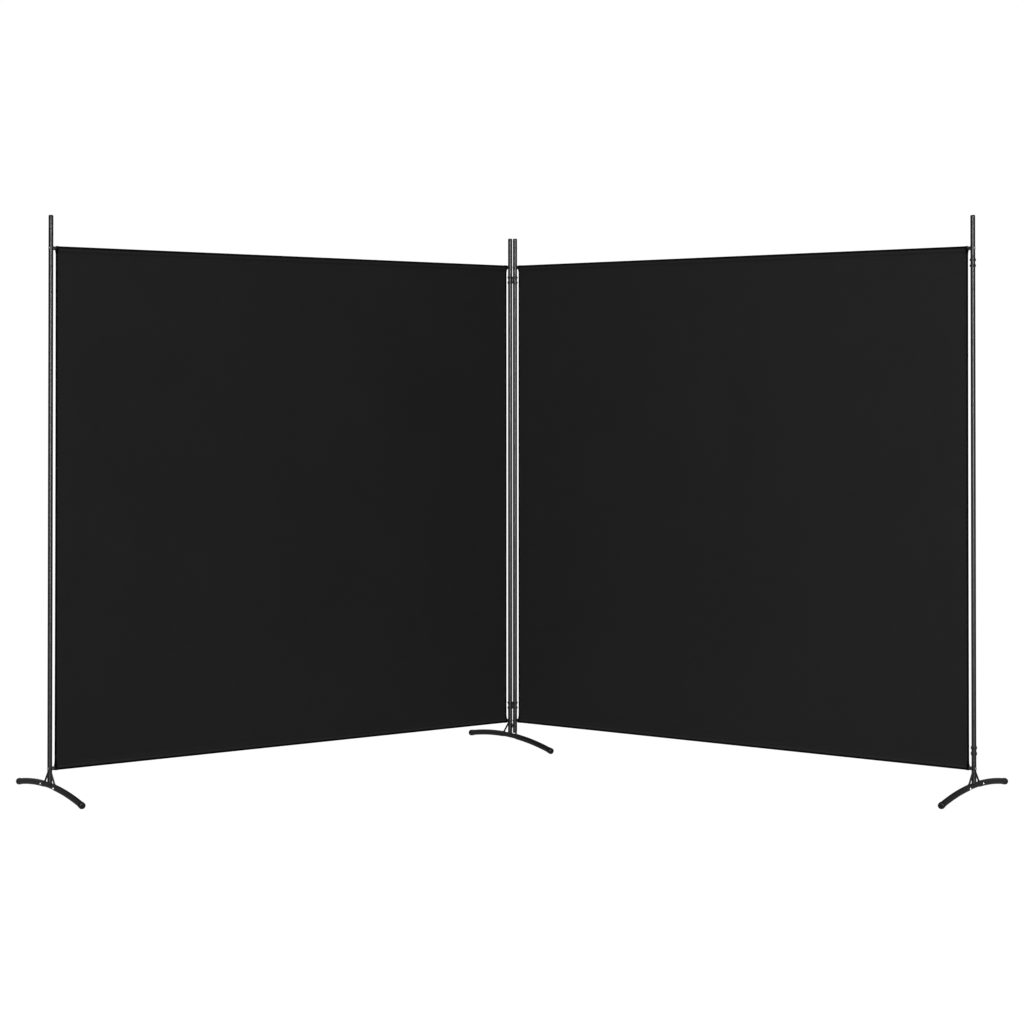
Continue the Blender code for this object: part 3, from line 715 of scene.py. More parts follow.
@dataclass
class Post:
    """A post: domed cap, drilled top section, long tube with a spigot at each end."""

    side: Side
    end: End
    body: str
    place: Array
    paint: Paintbox
    radius: float = 0.0075
    wall: float = 0.0012
    edge: float = 0.0008
    hole_r: float = 0.0045       # access hole for a rail bolt's head
    hole_edge: float = 0.00025   # slant at that hole's rim
    spigot: float = 0.0180
    cap_plug: float = 0.0120
    dome: float = 0.0034         # height of the cap above the tube
    lip: float = 0.0005          # straight rim under the dome
    sides: int = 64

    @property
    def name(self) -> str:
        """The post's name in the frame."""
        return f"{self.side.name.lower()}_{self.end.value}"

    @property
    def bore(self) -> float:
        """The tube's inside radius."""
        return self.radius - self.wall

    @property
    def plug_r(self) -> float:
        """Radius of what fits inside the tube."""
        return self.bore - TOUCH_GAP

    def build(self) -> None:
        """Build the post's own pieces."""
        cap, section, tube = (f"{self.name}_post_{part}" for part in ("cap", "top_section", "tube"))
        self.add_cap(cap)
        top_rail = centre_of(f"{self.side.name.lower()}_top_rail")[2]
        self.add_section(section, section + "_steel", top_rail)
        self.add_tube(tube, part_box(section)[0].z)
        if f"{self.name}_post_bottom_section" in frame["nodes"]:
            self.add_blind_end()

    def add_cap(self, node: str) -> None:
        """Add the cap: height over its base is the dome times sin(t) where the radius is cos(t)."""
        low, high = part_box(node)
        dome, lip = self.dome, self.lip
        base = high.z - dome
        t = np.linspace(0, math.pi / 2, 13)
        skirt = rounded([(0, low.z), (self.plug_r, low.z, 0.0006), (self.plug_r, base),
                         (self.radius, base, 0.0002), (self.radius, base + lip)], 3)
        crown = np.stack([self.radius * np.cos(t), base + lip + (dome - lip) * np.sin(t),
                          np.where(t < 0.5, 0.6, 0.0)], axis=-1)
        skin = Skin()
        skin.turned(np.vstack([skirt, crown[1:]]), self.sides)
        self.paint.dress(skin, node + "_moulding", self.paint.cap, self.body, [node], self.place)

    def add_section(self, node: str, name: str, hole_z: float, bottom: float | None = None) -> None:
        """Add a straight tube section, drilled on its outer side for a rail bolt's head.

        Args:
            node: The CAD node that it stands for, whose box gives its top.
            name: The piece's name.
            hole_z: Height of the hole.
            bottom: Height of its lower end; the node's own where it is not given.
        """
        low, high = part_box(node)
        bottom, top = low.z if bottom is None else bottom, high.z
        half = self.hole_r * WINDOW_REACH
        window = hole_z + np.linspace(-half, half, WINDOW_SIDE + 1)
        rim = rounded([(self.bore, 0), (self.radius, 0, self.edge), (self.radius, 1)], 4)[1:-1]
        rise, width, worn_and_shaded = rim[:, 1], rim[:, 0], rim[:, 2]
        skin = Skin()
        lead = [rise[-1] + bottom, window, top - rise[-1]]
        heights = np.concatenate([[lead[0]], np.linspace(lead[0], window[0], 4)[1:-1], window,
                                  np.linspace(window[-1], lead[2], 6)[1:-1], [lead[2]]])
        outer = skin.pierced(self.radius, heights, hole_z, self.hole_r, self.hole_edge,
                             np.zeros(len(heights)))
        inner = skin.pierced(self.bore, np.concatenate([[bottom], heights, [top]]), hole_z, self.hole_r,
                             0.0, np.zeros(len(heights) + 2))
        skin.grid(np.array([outer, inner]), wrap=(False, True))
        angles = window_angles()
        for level, sign in ((bottom, 1), (top, -1)):
            ring_r = np.concatenate([[self.bore], width])
            ring_z = level + sign * np.concatenate([[0.0], rise])
            points = np.stack([ring_r[:, None] * np.cos(angles), ring_r[:, None] * np.sin(angles),
                               ring_z[:, None] * np.ones(len(angles))], axis=-1)
            wear_and_shade = np.concatenate([[0.0], worn_and_shaded])[:, None]
            skin.grid(points, wrap=(False, True), wear_and_shade=wear_and_shade)
        self.paint.dress(skin, name, self.paint.coat, self.body, [node], self.place)

    def add_tube(self, node: str, joint: float) -> None:
        """Add the long tube between the joints, with the swaged spigots that enter its neighbours."""
        low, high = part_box(node)
        shoulders = low.z + self.spigot + TOUCH_GAP, joint - TOUCH_GAP
        throat = self.plug_r - self.wall
        outline = rounded([
            (throat, low.z, 0.0002), (self.plug_r, low.z, 0.0004), (self.plug_r, shoulders[0]),
            (self.radius, shoulders[0], self.edge), (self.radius, shoulders[1], self.edge),
            (self.plug_r, shoulders[1]), (self.plug_r, high.z, 0.0004), (throat, high.z, 0.0002),
            (throat, shoulders[1] - self.wall), (self.bore, shoulders[1] - 2 * self.wall),
            (self.bore, shoulders[0] + 2 * self.wall), (throat, shoulders[0] + self.wall)], 4, closed=True)
        skin = Skin()
        skin.turned(outline, self.sides, closed=True)
        self.paint.dress(skin, node + "_steel", self.paint.coat, self.body, [node], self.place)

    def add_blind_end(self) -> None:
        """Add the lower section and the flat plug of the post that has no foot."""
        section, plug = f"{self.name}_post_bottom_section", f"{self.name}_post_end_plug"
        bottom_rail = centre_of(f"{self.side.name.lower()}_bottom_rail")[2]
        self.add_section(section, section + "_steel", bottom_rail)
        low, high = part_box(plug)
        shoulder = high.z - self.cap_plug
        outline = rounded([(0, low.z), (self.radius, low.z, 0.0006), (self.radius, shoulder, 0.0002),
                           (self.plug_r, shoulder), (self.plug_r, high.z, 0.0008), (0, high.z)], 4)
        skin = Skin()
        skin.turned(outline, self.sides)
        self.paint.dress(skin, plug + "_moulding", self.paint.cap, self.body, [plug], self.place)


# ---------------------------------------------------------------------------------------------
# Feet


@dataclass
class Foot:
    """An arched foot: a welded hub with its upright and braces, two legs, end caps and bolts."""

    post: Post
    arch_radius: float = 1.330
    leg_r: float = 0.0095
    leg_wall: float = 0.0009
    leg_start: float = 0.0440
    half_length: float = 0.2540
    hub_wall: float = 0.0012
    hub_reach: float = 0.0800
    bolt_reach: float = 0.0510
    cap_lip: float = 0.0010
    cap_length: float = 0.0145
    cap_round: float = 0.0045
    cap_plug: float = 0.0120
    brace_r: float = 0.0030
    brace_top: float = 0.0783
    brace_reach: float = 0.0400
    bead_r: float = 0.0013
    sunk: float = 0.0030         # the upright's lower end, above the hub's axis
    sides: int = 56

    def __post_init__(self) -> None:
        """Work out the sizes that follow from the others."""
        self.bore_r = self.leg_r - self.leg_wall
        self.hub_r = self.bore_r - TOUCH_GAP
        self.cap_end = math.asin(self.half_length / self.arch_radius)
        self.leg_end = self.cap_end - self.cap_length / self.arch_radius
        self.bolt_z = centre_of(f"{self.post.name}_foot_front_bolt")[2]
        sag = self.arch_radius - math.sqrt(self.arch_radius ** 2 - self.bolt_reach ** 2)
        self.top_z = self.bolt_z + sag

    def build(self) -> None:
        """Build every piece of the foot."""
        self.add_hub()
        front = self.post.side.value if self.post.end is End.OUTER else -self.post.side.value
        for way in (1, -1):
            node = f"{self.post.name}_foot_{'front' if way == front else 'rear'}"
            self.add_leg(node, way)
            self.add_cap(node, way)
            self.add_bolt(node, way)

    def arch(self, angles: Array, across: Array, out: Array) -> Array:
        """Return points about the arch: its centre is arch_radius under its top, and a point at an
        angle from the top stands arch_radius + out from the centre and across along X."""
        far = self.arch_radius + out
        return np.stack([across * np.ones_like(angles), far * np.sin(angles),
                         self.top_z - self.arch_radius + far * np.cos(angles)], axis=-1)

    def swept(self, skin: Skin, profile: Array, closed: bool = True, steps: int = 40) -> None:
        """Add a tube's wall along the arch.

        Args:
            skin: The skin to add it to.
            profile: Rows of radius, angle along the arch and wear, round the wall's section.
            closed: True where the last row joins the first.
            steps: Rings between two rows that are far apart.
        """
        rows = [profile[:1]]
        ring = np.vstack([profile, profile[:1]]) if closed else profile
        for a, b in zip(ring, ring[1:]):
            count = steps if abs(b[1] - a[1]) * self.arch_radius > 0.03 else 1
            rows.append(a + (b - a) * np.linspace(0, 1, count + 1)[1:, None])
        dense = np.vstack(rows)
        dense = dense[:-1] if closed else dense
        phi = np.arange(self.sides) * 2 * math.pi / self.sides
        radius, angle = dense[:, :1], dense[:, 1:2]
        points = self.arch(angle * np.ones(self.sides), radius * np.cos(phi), radius * np.sin(phi))
        skin.grid(points, wrap=(closed, True), wear_and_shade=dense[:, 2:3])

    def add_leg(self, node: str, way: int) -> None:
        """Add a leg: a round tube along the arch, with softly rounded cut ends."""
        start, scale = math.asin(self.leg_start / self.arch_radius), self.arch_radius
        outline = rounded([(self.bore_r, start * scale), (self.leg_r, start * scale, 0.0004),
                           (self.leg_r, self.leg_end * scale, 0.0004),
                           (self.bore_r, self.leg_end * scale)], 4, closed=True)
        outline[:, 1] *= way / scale
        skin = Skin()
        self.swept(skin, outline)
        self.post.paint.dress(skin, node + "_leg_steel", self.post.paint.coat, self.post.body,
                              [node + "_leg"], self.post.place)

    def add_cap(self, node: str, way: int) -> None:
        """Add a foot cap: turned about the leg's end, with the floor's flat where it would pass under."""
        cap_r = self.leg_r + self.cap_lip
        outline = rounded([(0, -self.cap_plug), (self.bore_r - TOUCH_GAP, -self.cap_plug, 0.0006),
                           (self.bore_r - TOUCH_GAP, TOUCH_GAP), (cap_r, TOUCH_GAP, 0.0005),
                           (cap_r, self.cap_length, self.cap_round), (0, self.cap_length)], 10)
        dense = np.linspace(0, 1, 9)[:, None]
        face = outline[-2] + (outline[-1] - outline[-2]) * dense
        skin = Skin()
        angle = self.leg_end * way
        end = (move(0, 0, self.top_z - self.arch_radius) @ turn(-angle, "X")
               @ move(0, 0, self.arch_radius) @ turn(-way * math.pi / 2, "X"))
        skin.turned(np.vstack([outline[:-1], face[1:]]), 72, end)
        points = skin.points[0]
        points[:, 2] = np.maximum(points[:, 2], 0.0)
        self.post.paint.dress(skin, node + "_cap_moulding", self.post.paint.cap, self.post.body,
                              [node + "_cap"], self.post.place)

    def add_bolt(self, node: str, way: int) -> None:
        """Add the bolt that holds a leg, with its head on the outer side."""
        at = self.post.place @ move(0, way * self.bolt_reach, self.bolt_z)
        self.post.paint.dress(FootBolt(under=self.leg_r + TOUCH_GAP, tip=-self.hub_r + 0.0007).skin(),
                              node + "_bolt_zinc", self.post.paint.zinc, self.post.body,
                              [node + "_bolt"], at)

    def add_hub(self) -> None:
        """Add the hub's curved tube, upright, braces and weld beads."""
        post, paint = self.post, self.post.paint
        node = f"{post.name}_foot_hub"
        reach = math.asin(self.hub_reach / self.arch_radius) * self.arch_radius
        bore = self.hub_r - self.hub_wall
        outline = rounded([(bore, -reach), (self.hub_r, -reach, 0.0004), (self.hub_r, reach, 0.0004),
                           (bore, reach)], 3, closed=True)
        outline[:, 1] /= self.arch_radius
        tube = Skin()
        self.swept(tube, outline)
        paint.dress(tube, node + "_tube", paint.coat, post.body, [node], post.place)

        post.add_section(node, node + "_upright", centre_of(f"{post.side.name.lower()}_bottom_rail")[2],
                         self.top_z + self.sunk)

        braces, beads = Skin(), Skin()
        landing = self.top_z + self.hub_r - self.brace_r
        for way in (1, -1):
            top = np.array([0, post.radius * way, self.brace_top])
            foot = np.array([0, self.brace_reach * way, landing])
            lean = (foot - top) / np.linalg.norm(foot - top)
            path = top + lean * np.linspace(-0.0015, np.linalg.norm(foot - top) + 0.002, 12)[:, None]
            braces.along(path, np.tile([1.0, 0, 0], (12, 1)), self.brace_r, 24)
            self.add_collar(beads, top + lean * 0.0012, lean, 1.05, 1.0)
            self.add_collar(beads, foot - lean * 0.0022, lean, 1.45, 1.6)
        paint.dress(braces, node + "_braces", paint.coat, post.body, [node], post.place)
        self.add_saddle(beads)
        paint.dress(beads, node + "_welds", paint.coat, post.body, place=post.place)

    def add_saddle(self, beads: Skin) -> None:
        """Add the bead where the upright stands on the hub.

        At an angle a about the upright the bead's middle is at radius r, and at the hub's height
        there, which is the square root of the hub's radius squared less (r cos a) squared. Its
        thickness swells and shrinks with the welder's ripples.
        """
        a = np.linspace(0, 2 * math.pi, 161)[:-1]
        radius = self.post.radius + 0.0002
        x, y = radius * np.cos(a), radius * np.sin(a)
        z = self.top_z + np.sqrt(self.hub_r ** 2 - x ** 2) + 0.0001
        ripple = 1 + 0.13 * np.sin(a * 34) + 0.06 * np.sin(a * 5 + 1)
        beads.along(np.stack([x, y, z], -1), np.stack([x, y, 0 * z], -1), self.bead_r * ripple, 14,
                    closed=True, wear_and_shade=0.25)

    def add_collar(self, beads: Skin, middle: Array, lean: Array, widen: float, longer: float) -> None:
        """Add a small swelling of weld round a brace's end: radius brace_r times 1 to widen, rising
        and falling as sin(t) along the brace, with ripples."""
        t = np.linspace(0, math.pi, 15)
        spread = (t / math.pi - 0.5) * 0.0044 * longer
        ripple = 1 + 0.05 * np.sin(t * 9)
        radius = self.brace_r * (0.55 + (widen - 0.55) * np.sin(t) ** 0.7) * ripple
        beads.along(middle + lean * spread[:, None], np.tile([1.0, 0, 0], (15, 1)), radius, 20, wear_and_shade=0.2)


# ---------------------------------------------------------------------------------------------
# Clips


@dataclass
class Clip:
    """A moulded clip: two pairs of rings round neighbouring posts, joined by a web between them.

    Its first pair stands on its own Z axis, and its second pair's axis is pitch away along X.
    """

    pitch: float = 0.0174
    bore: float = 0.0078
    wall: float = 0.0018
    web_half: float = 0.0045     # half of the web's depth, front to back
    web_edge: float = 0.0004     # how far the web's corners are eased
    height: float = 0.0240
    band: float = 0.0060
    soft: float = 0.0006         # rounding of the rings' edges
    lead: float = 0.0003         # slant at the bore's ends
    blend: float = 26.0          # how sharply a ring turns into the waist

    def skin(self) -> Skin:
        """Return the clip's surface."""
        made = Skin()
        for level in (-1, 1):
            middle = level * (self.height - self.band) / 2
            for spin in (move(), move(self.pitch) @ turn(math.pi, "Z")):
                self.add_half_band(made, spin @ move(0, 0, middle))
        self.add_web(made)
        return made

    def outside(self, angle: Array) -> Array:
        """Return a band's outside radius at an angle about its ring: (ring^n + (flank / |sin a|)^n)
        ^ (1 / n), where the flank is the waist's side between the two rings."""
        ring = self.bore + self.wall
        flank = self.web_half / np.maximum(np.abs(np.sin(angle)), 1e-4)
        flank = np.where(np.cos(angle) > 0, np.minimum(flank, 1.0), 1e-4)
        return ring * (1 + (flank / ring) ** self.blend) ** (1 / self.blend)

    def add_half_band(self, made: Skin, place: Array) -> None:
        """Add one ring of a band, cut off by the plane half way to the other ring, which it meets.

        The section is followed from the bore's lower edge, round the outside, to its upper edge:
        each row has a radius, a height and its wear.
        """
        half, columns = self.pitch / 2, 9
        fine = np.linspace(0.05, 1.2, 4000)
        cut = float(fine[np.argmin(np.abs(self.outside(fine) * np.cos(fine) - half))])
        angles = np.concatenate([np.linspace(-cut, cut, columns),
                                 np.linspace(cut, 2 * math.pi - cut, 61)[1:-1]])
        mated = np.arange(len(angles)) < columns
        reach = np.where(mated, half / np.cos(angles), self.outside(angles))
        t = np.linspace(0, math.pi / 2, 5)
        inset = self.soft * (1 - np.sin(t))
        level = self.band / 2 - self.soft * (1 - np.cos(t))
        bore, low, small = self.bore + 0 * angles, self.band / 2, self.lead
        outer = [(reach - i * ~mated, z, 0.7) for i, z in zip(inset, level)]
        rows = [(bore, small - low, 0.0), (bore + small, -low, 0.5),
                *((r, -z, worn_and_shaded) for r, z, worn_and_shaded in outer), *outer[::-1],
                (bore + small, low, 0.5), (bore, low - small, 0.0)]
        points = np.array([np.stack([r * np.cos(angles), r * np.sin(angles), z + 0 * angles], -1)
                           for r, z, worn_and_shaded in rows])
        keep = np.ones((len(rows), len(angles)), bool)
        keep[2:len(rows) - 3, :columns - 1] = False
        made.grid(points, place, (True, True), keep, wear_and_shade=np.array([row[2] for row in rows])[:, None])

    def add_web(self, made: Skin) -> None:
        """Add the web: its thickness at depth y is the pitch less twice the root of r squared less
        y squared, so that it follows both posts; its ends are buried in the bands."""
        deep = self.web_half - self.web_edge
        y = np.linspace(-deep, deep, 15)
        near = self.pitch / 2 - np.sqrt((self.bore + 0.0001) ** 2 - y ** 2)
        thick = near - self.web_edge * (np.abs(y) / deep) ** 12
        levels = np.array([-1, 1]) * (self.height - self.band) / 2
        ring = np.concatenate([np.stack([self.pitch / 2 - thick, y], -1),
                               np.stack([self.pitch / 2 + thick, y], -1)[::-1]])
        wall = np.array([np.hstack([ring, np.full((len(ring), 1), z)]) for z in levels])
        made.grid(wall, wrap=(False, True))
        for z in levels:
            made.grid(np.array([np.stack([self.pitch / 2 + s * thick, y, z + 0 * y], -1) for s in (-1, 1)]))


# ---------------------------------------------------------------------------------------------
# Rails and cloth


@dataclass
class Rail:
    """A round rail with a threaded plug welded into each end."""

    length: float
    radius: float = 0.0060
    wall: float = 0.0010
    thread_r: float = 0.0028
    plug: float = 0.0200

    def skin(self) -> Skin:
        """Return the rail's surface, along +X from its inner end."""
        made = Skin()
        bore, end = self.radius - self.wall, self.length
        outline = rounded([(self.thread_r, 0, 0.0002), (self.radius, 0, 0.0004), (self.radius, end, 0.0004),
                           (self.thread_r, end, 0.0002), (self.thread_r, end - self.plug),
                           (bore, end - self.plug), (bore, self.plug), (self.thread_r, self.plug)],
                          3, closed=True)
        made.turned(outline, 48, turn(math.pi / 2, "Y"), closed=True)
        return made


@dataclass
class ClothPanel:
    """One panel's cloth: a sheet that wraps a rail at its top and its bottom and is sewn to itself.

    Its map runs along the panel and along the cloth's own length, which starts at the free edge
    behind the upper seam, passes over the upper rail, down the front, round the lower rail and ends
    behind the lower seam.
    """

    front: int
    start: float
    end: float
    top_rail: float
    bottom_rail: float
    thickness: float = 0.0006
    wrap_r: float = 0.0066       # rail's axis to the middle of the cloth
    seam_drop: float = 0.0161    # rail's axis to the seam
    tail: float = 0.0050         # free edge beyond the seam
    hem: float = 0.0105          # width of the turned-in side edges
    fold: float = 0.0075         # width of the painted shade bands along the sides and over the rails' far sides
    bow: float = 0.0004          # how far the sides draw in at mid height
    ripple: float = 0.0011       # height of the long waves between the rails
    step: float = 0.00025        # between the points of the cloth's line
    softness: float = 0.0011     # how far the line's bends are smoothed
    stitch: float = 0.0032       # from one stitch to the next
    stitch_length: float = 0.0026
    thread_r: float = 0.00017

    def __post_init__(self) -> None:
        """Lay out the cloth's line across the rails, at fine even steps, and smooth its bends."""
        layer = self.thickness

        def wrap(up: int, rail: float) -> Array:
            """Line from the seam behind, round the rail, to the seam in front, as across, height."""
            angle = math.asin(self.wrap_r / self.seam_drop)
            t = np.linspace(math.pi + angle, -angle, 90)
            arc = np.stack([self.wrap_r * np.cos(t), rail + up * self.wrap_r * np.sin(t)], -1)
            seam = rail - up * self.seam_drop
            behind = np.array([(-layer, seam - up * self.tail), (-layer, seam)])
            return np.vstack([behind, arc, [(0.0, seam)]])

        corners = np.vstack([wrap(1, self.top_rail), wrap(-1, self.bottom_rail)[::-1]])
        line = self.even(corners, self.step)
        reach = np.arange(-24, 25)
        kernel = np.exp(-(reach * self.step / self.softness) ** 2 / 2)
        padded = np.pad(line, ((24, 24), (0, 0)), mode="reflect", reflect_type="odd")
        line = np.stack([np.convolve(padded[:, k], kernel / kernel.sum(), "valid") for k in (0, 1)], -1)
        self.line = self.even(line, self.step)
        steps = np.linalg.norm(np.diff(self.line, axis=0), axis=1)
        self.along = np.concatenate([[0.0], np.cumsum(steps)])
        ahead = np.gradient(self.line, axis=0)
        ahead = ahead / np.linalg.norm(ahead, axis=1, keepdims=True)
        self.normal = np.stack([-ahead[:, 1], ahead[:, 0]], -1)
        self.length = float(self.along[-1])
        self.pocket = self.tail + 2 * math.sqrt(self.seam_drop ** 2 - self.wrap_r ** 2) + self.wrap_r * (
            math.pi + 2 * math.asin(self.wrap_r / self.seam_drop))

    @staticmethod
    def even(line: Array, step: float) -> Array:
        """Return the line again with points at even steps."""
        along = np.concatenate([[0.0], np.cumsum(np.linalg.norm(np.diff(line, axis=0), axis=1))])
        at = np.linspace(0, along[-1], int(along[-1] / step) + 1)
        return np.stack([np.interp(at, along, line[:, k]) for k in (0, 1)], -1)

    def surface(self, x: Array, v: Array, out: Array | float) -> Array:
        """Return points of the cloth.

        A point at x along the panel and v along the cloth stands on the line at v, moved out along
        the line's normal. Between the seams a few long, low waves lie across the panel, which fade
        towards the rails, and the sides draw in towards mid height.

        Args:
            x: Distance along the panel.
            v: Distance along the cloth.
            out: Distance from the cloth's middle; above 0 is the outside.

        Returns:
            Points in the panel's axes.
        """
        across, height = (np.interp(v, self.along, self.line[:, k]) for k in (0, 1))
        lean = [np.interp(v, self.along, self.normal[:, k]) for k in (0, 1)]
        low, high = self.bottom_rail + self.seam_drop, self.top_rail - self.seam_drop
        share = np.clip((height - low) / (high - low), 0, 1)
        between = (v > self.pocket) & (v < self.length - self.pocket)
        held = np.sin(math.pi * share) ** 0.6 * between
        s = (x - self.start) / (self.end - self.start)
        wave = (0.55 * np.sin(2 * math.pi * (3.1 * s + 0.25 * share) + 0.7)
                + 0.30 * np.sin(2 * math.pi * (7.3 * s - 0.35 * share) + 2.1)
                + 0.15 * np.sin(2 * math.pi * (13.7 * s + 0.6 * share) + 4.0))
        middle = (self.start + self.end) / 2
        drawn = middle + (x - middle) * (1 - 2 * self.bow / (self.end - self.start)
                                         * np.sin(math.pi * share) * between)
        side = across + self.ripple * wave * held + out * lean[0]
        return np.stack(np.broadcast_arrays(drawn, side * self.front, height + out * lean[1]), -1)

    def spots(self) -> tuple[Array, Array]:
        """Return the grid's places along the panel and along the cloth, close together at the hems
        and round the rails and further apart between them."""
        hem = np.concatenate([[0, 0.0002, 0.0006], np.linspace(0.0014, self.hem - 0.0016, 7),
                              self.hem + np.linspace(-0.0008, 0.0012, 6)])
        wide = np.linspace(self.start + 0.02, self.end - 0.02, 112)
        x = np.concatenate([self.start + hem, wide, (self.end - hem)[::-1]])
        ends = np.concatenate([[0, 0.0002], np.linspace(0.0008, self.pocket + 0.012, 62)])
        v = np.concatenate([ends, np.linspace(self.pocket + 0.024, self.length - self.pocket - 0.024, 92),
                            (self.length - ends)[::-1]])
        return x, v

    def skin(self) -> Skin:
        """Return the cloth as one closed surface.

        The outside lies half a thickness out and the inside as far in. The turned-in edges add one
        more thickness over their width, behind the sheet, or outside it round the rails.
        """
        x, v = self.spots()
        grid_x, grid_v = np.meshgrid(x, v)
        edge = np.minimum(grid_x - self.start, self.end - grid_x)
        free = np.minimum(grid_v, self.length - grid_v)
        doubled = self.thickness * np.clip((self.hem - edge) / 0.0010 + 0.5, 0, 1)
        wrapped = np.clip((self.pocket + 0.004 - free) / 0.004, 0, 1)
        fold = (np.sqrt(np.clip(edge / self.thickness, 0, 1))
                * np.sqrt(np.clip(free / self.thickness, 0.02, 1)))
        half = self.thickness / 2
        furrow = 0.00012 * np.exp(-((edge - self.hem + 0.0025) / 0.0011) ** 2)
        outer = (half + doubled * wrapped) * fold - furrow
        inner = -(half + doubled * (1 - wrapped)) * fold
        chart = np.stack([grid_x, grid_v], -1)
        made = Skin()
        sheets = [self.surface(grid_x, grid_v, out) for out in (outer, inner)]
        for points in sheets:
            # the values given here are painted shade along the cloth's edges and over the rails, and a
            # painted highlight on the pockets
            made.grid(points, chart=chart, wear_and_shade=self.painted_shade_and_highlight(edge, points[..., 2]))
        for line in ((slice(None), 0), (slice(None), -1), (0, slice(None)), (-1, slice(None))):
            made.grid(np.array([sheets[0][line], sheets[1][line]]),
                      chart=np.array([chart[line], chart[line]]))
        return made

    def painted_shade_and_highlight(self, edge: Array, height: Array) -> Array:
        """Return the cloth's painted shade and highlight: 1, painted shade, along its sides and where it
        turns over the rails' far sides, and a little under 0, a painted paler highlight, on the rest of
        each pocket."""
        side = np.clip((self.fold - edge) / 0.0012 + 0.5, 0, 1)
        over = np.maximum(height - self.top_rail, self.bottom_rail - height)
        turned = np.clip((over - self.wrap_r + self.fold) / 0.0020 + 0.5, 0, 1)
        pocket_highlight = np.clip((over + self.wrap_r) / 0.0030 + 0.5, 0, 1)
        # painted shade where side or turned reaches 1; painted highlight, down to -0.6, on the rest of the
        # pockets
        return np.maximum(side, turned) - (1 - np.maximum(side, turned)) * pocket_highlight * 0.6

    def rows_of_stitches(self) -> tuple[Array, Array, Array]:
        """Return each stitch's place along the panel and the cloth, and 1 where it lies along X."""
        inset = self.hem - 0.0025
        x = np.arange(self.start + 0.003, self.end - 0.003, self.stitch)
        seams = [np.full_like(x, v) for v in (self.pocket, self.length - self.pocket)]
        v = np.arange(self.pocket + 0.004, self.length - self.pocket - 0.004, self.stitch)
        sides = [np.full_like(v, at) for at in (self.start + inset, self.end - inset)]
        return (np.concatenate([x, x, *sides]), np.concatenate([*seams, v, v]),
                np.concatenate([np.ones(2 * len(x)), np.zeros(2 * len(v))]))

    def stitching(self) -> Skin:
        """Return the seams' and hems' stitches.

        Each is a short spindle: at t from -1 to 1 along it, its radius is the thread's times the
        fourth root of 1 - t^4, and it stands off the cloth by 1 - t^2, so that its ends dive in.
        """
        x, v, lengthwise = self.rows_of_stitches()
        t = np.array([-1.0, -0.86, -0.35, 0.35, 0.86, 1.0])
        angles = np.arange(6) * math.pi / 3
        radius = self.thread_r * (1 - t ** 4) ** 0.25
        made = Skin()
        for sign, stand in ((1, self.thickness / 2 - 0.00005), (-1, self.thickness * 1.5)):
            step = self.stitch_length / 2 * t
            at_x = x[:, None] + step * lengthwise[:, None]
            at_v = v[:, None] + step * (1 - lengthwise[:, None])
            lift = sign * (stand + self.thread_r * (0.75 * (1 - t ** 2) - 0.35))
            spine = self.surface(at_x, at_v, lift)
            ahead = np.gradient(spine, axis=1)
            ahead = ahead / np.linalg.norm(ahead, axis=-1, keepdims=True)
            up = self.surface(at_x, at_v, lift + sign * 0.001) - spine
            up = up / np.linalg.norm(up, axis=-1, keepdims=True)
            aside = np.cross(ahead, up)
            ring = radius[:, None, None] * (np.cos(angles)[:, None] * up[:, :, None]
                                            + np.sin(angles)[:, None] * aside[:, :, None])
            made.grid(spine[:, :, None] + ring, wrap=(False, True))
        return made


# ---------------------------------------------------------------------------------------------
# Panels


@dataclass
class Panel:
    """One wing of the divider: two posts, two rails with their bolts, feet and cloth."""

    side: Side
    paint: Paintbox
    side_gap: float = 0.0078     # post's surface to the cloth's side edge

    def __post_init__(self) -> None:
        """Find the panel's axes from its posts' caps."""
        self.name = self.side.name.lower()
        self.body = f"{self.name}_panel"
        inner, outer = (centre_of(f"{self.name}_{end.value}_post_cap") for end in (End.INNER, End.OUTER))
        run = outer - inner
        self.pitch = float(np.hypot(run[0], run[1]))
        self.place = move(inner[0], inner[1]) @ turn(math.atan2(run[1], run[0]), "Z")

    def build(self) -> None:
        """Build every piece of the wing."""
        places = {End.INNER: self.place @ turn(math.pi, "Z"), End.OUTER: self.place @ move(self.pitch)}
        for end, place in places.items():
            post = Post(self.side, end, self.body, place, self.paint)
            post.build()
            if f"{post.name}_foot_hub" in frame["nodes"]:
                Foot(post).build()
        rails = {level: self.add_rail(level, places) for level in Level}
        self.add_cloth(rails)

    def rail_z(self, level: Level) -> float:
        """Return the height of a rail's axis."""
        return float(centre_of(f"{self.name}_{level.value}_rail")[2])

    def add_rail(self, level: Level, places: dict[End, Array]) -> bpy.types.Object:
        """Add a rail and the bolt at each of its ends."""
        node = f"{self.name}_{level.value}_rail"
        start = Post.radius + TOUCH_GAP
        rail = Rail(self.pitch - 2 * start)
        at = self.place @ move(start, 0, self.rail_z(level))
        made = self.paint.dress(rail.skin(), node + "_steel", self.paint.coat, self.body, [node], at)
        for end, place in places.items():
            bolt = f"{node}_{end.value}_bolt"
            at = place @ move(0, 0, self.rail_z(level)) @ turn(-math.pi / 2, "Y")
            self.paint.dress(RailBolt().skin(), bolt + "_zinc", self.paint.zinc, self.body, [bolt], at)
        return made

    def add_cloth(self, rails: dict[Level, bpy.types.Object]) -> None:
        node = f"{self.name}_fabric"
        edge = Post.radius + self.side_gap
        cloth = ClothPanel(self.side.value, edge, self.pitch - edge, self.rail_z(Level.TOP),
                           self.rail_z(Level.BOTTOM))
        sheet = self.paint.dress(cloth.skin(), node + "_cloth", self.paint.cloth, self.body, [node],
                                 self.place, mapped=True)
        thread = self.paint.dress(cloth.stitching(), node + "_stitching", self.paint.thread, self.body,
                                  place=self.place)
        width = cloth.end - cloth.start + 2 * cloth.hem
        [rails[level].name for level in Level]
        log.info("%s: flat %.4f by %.4f", sheet.name, width, cloth.length)


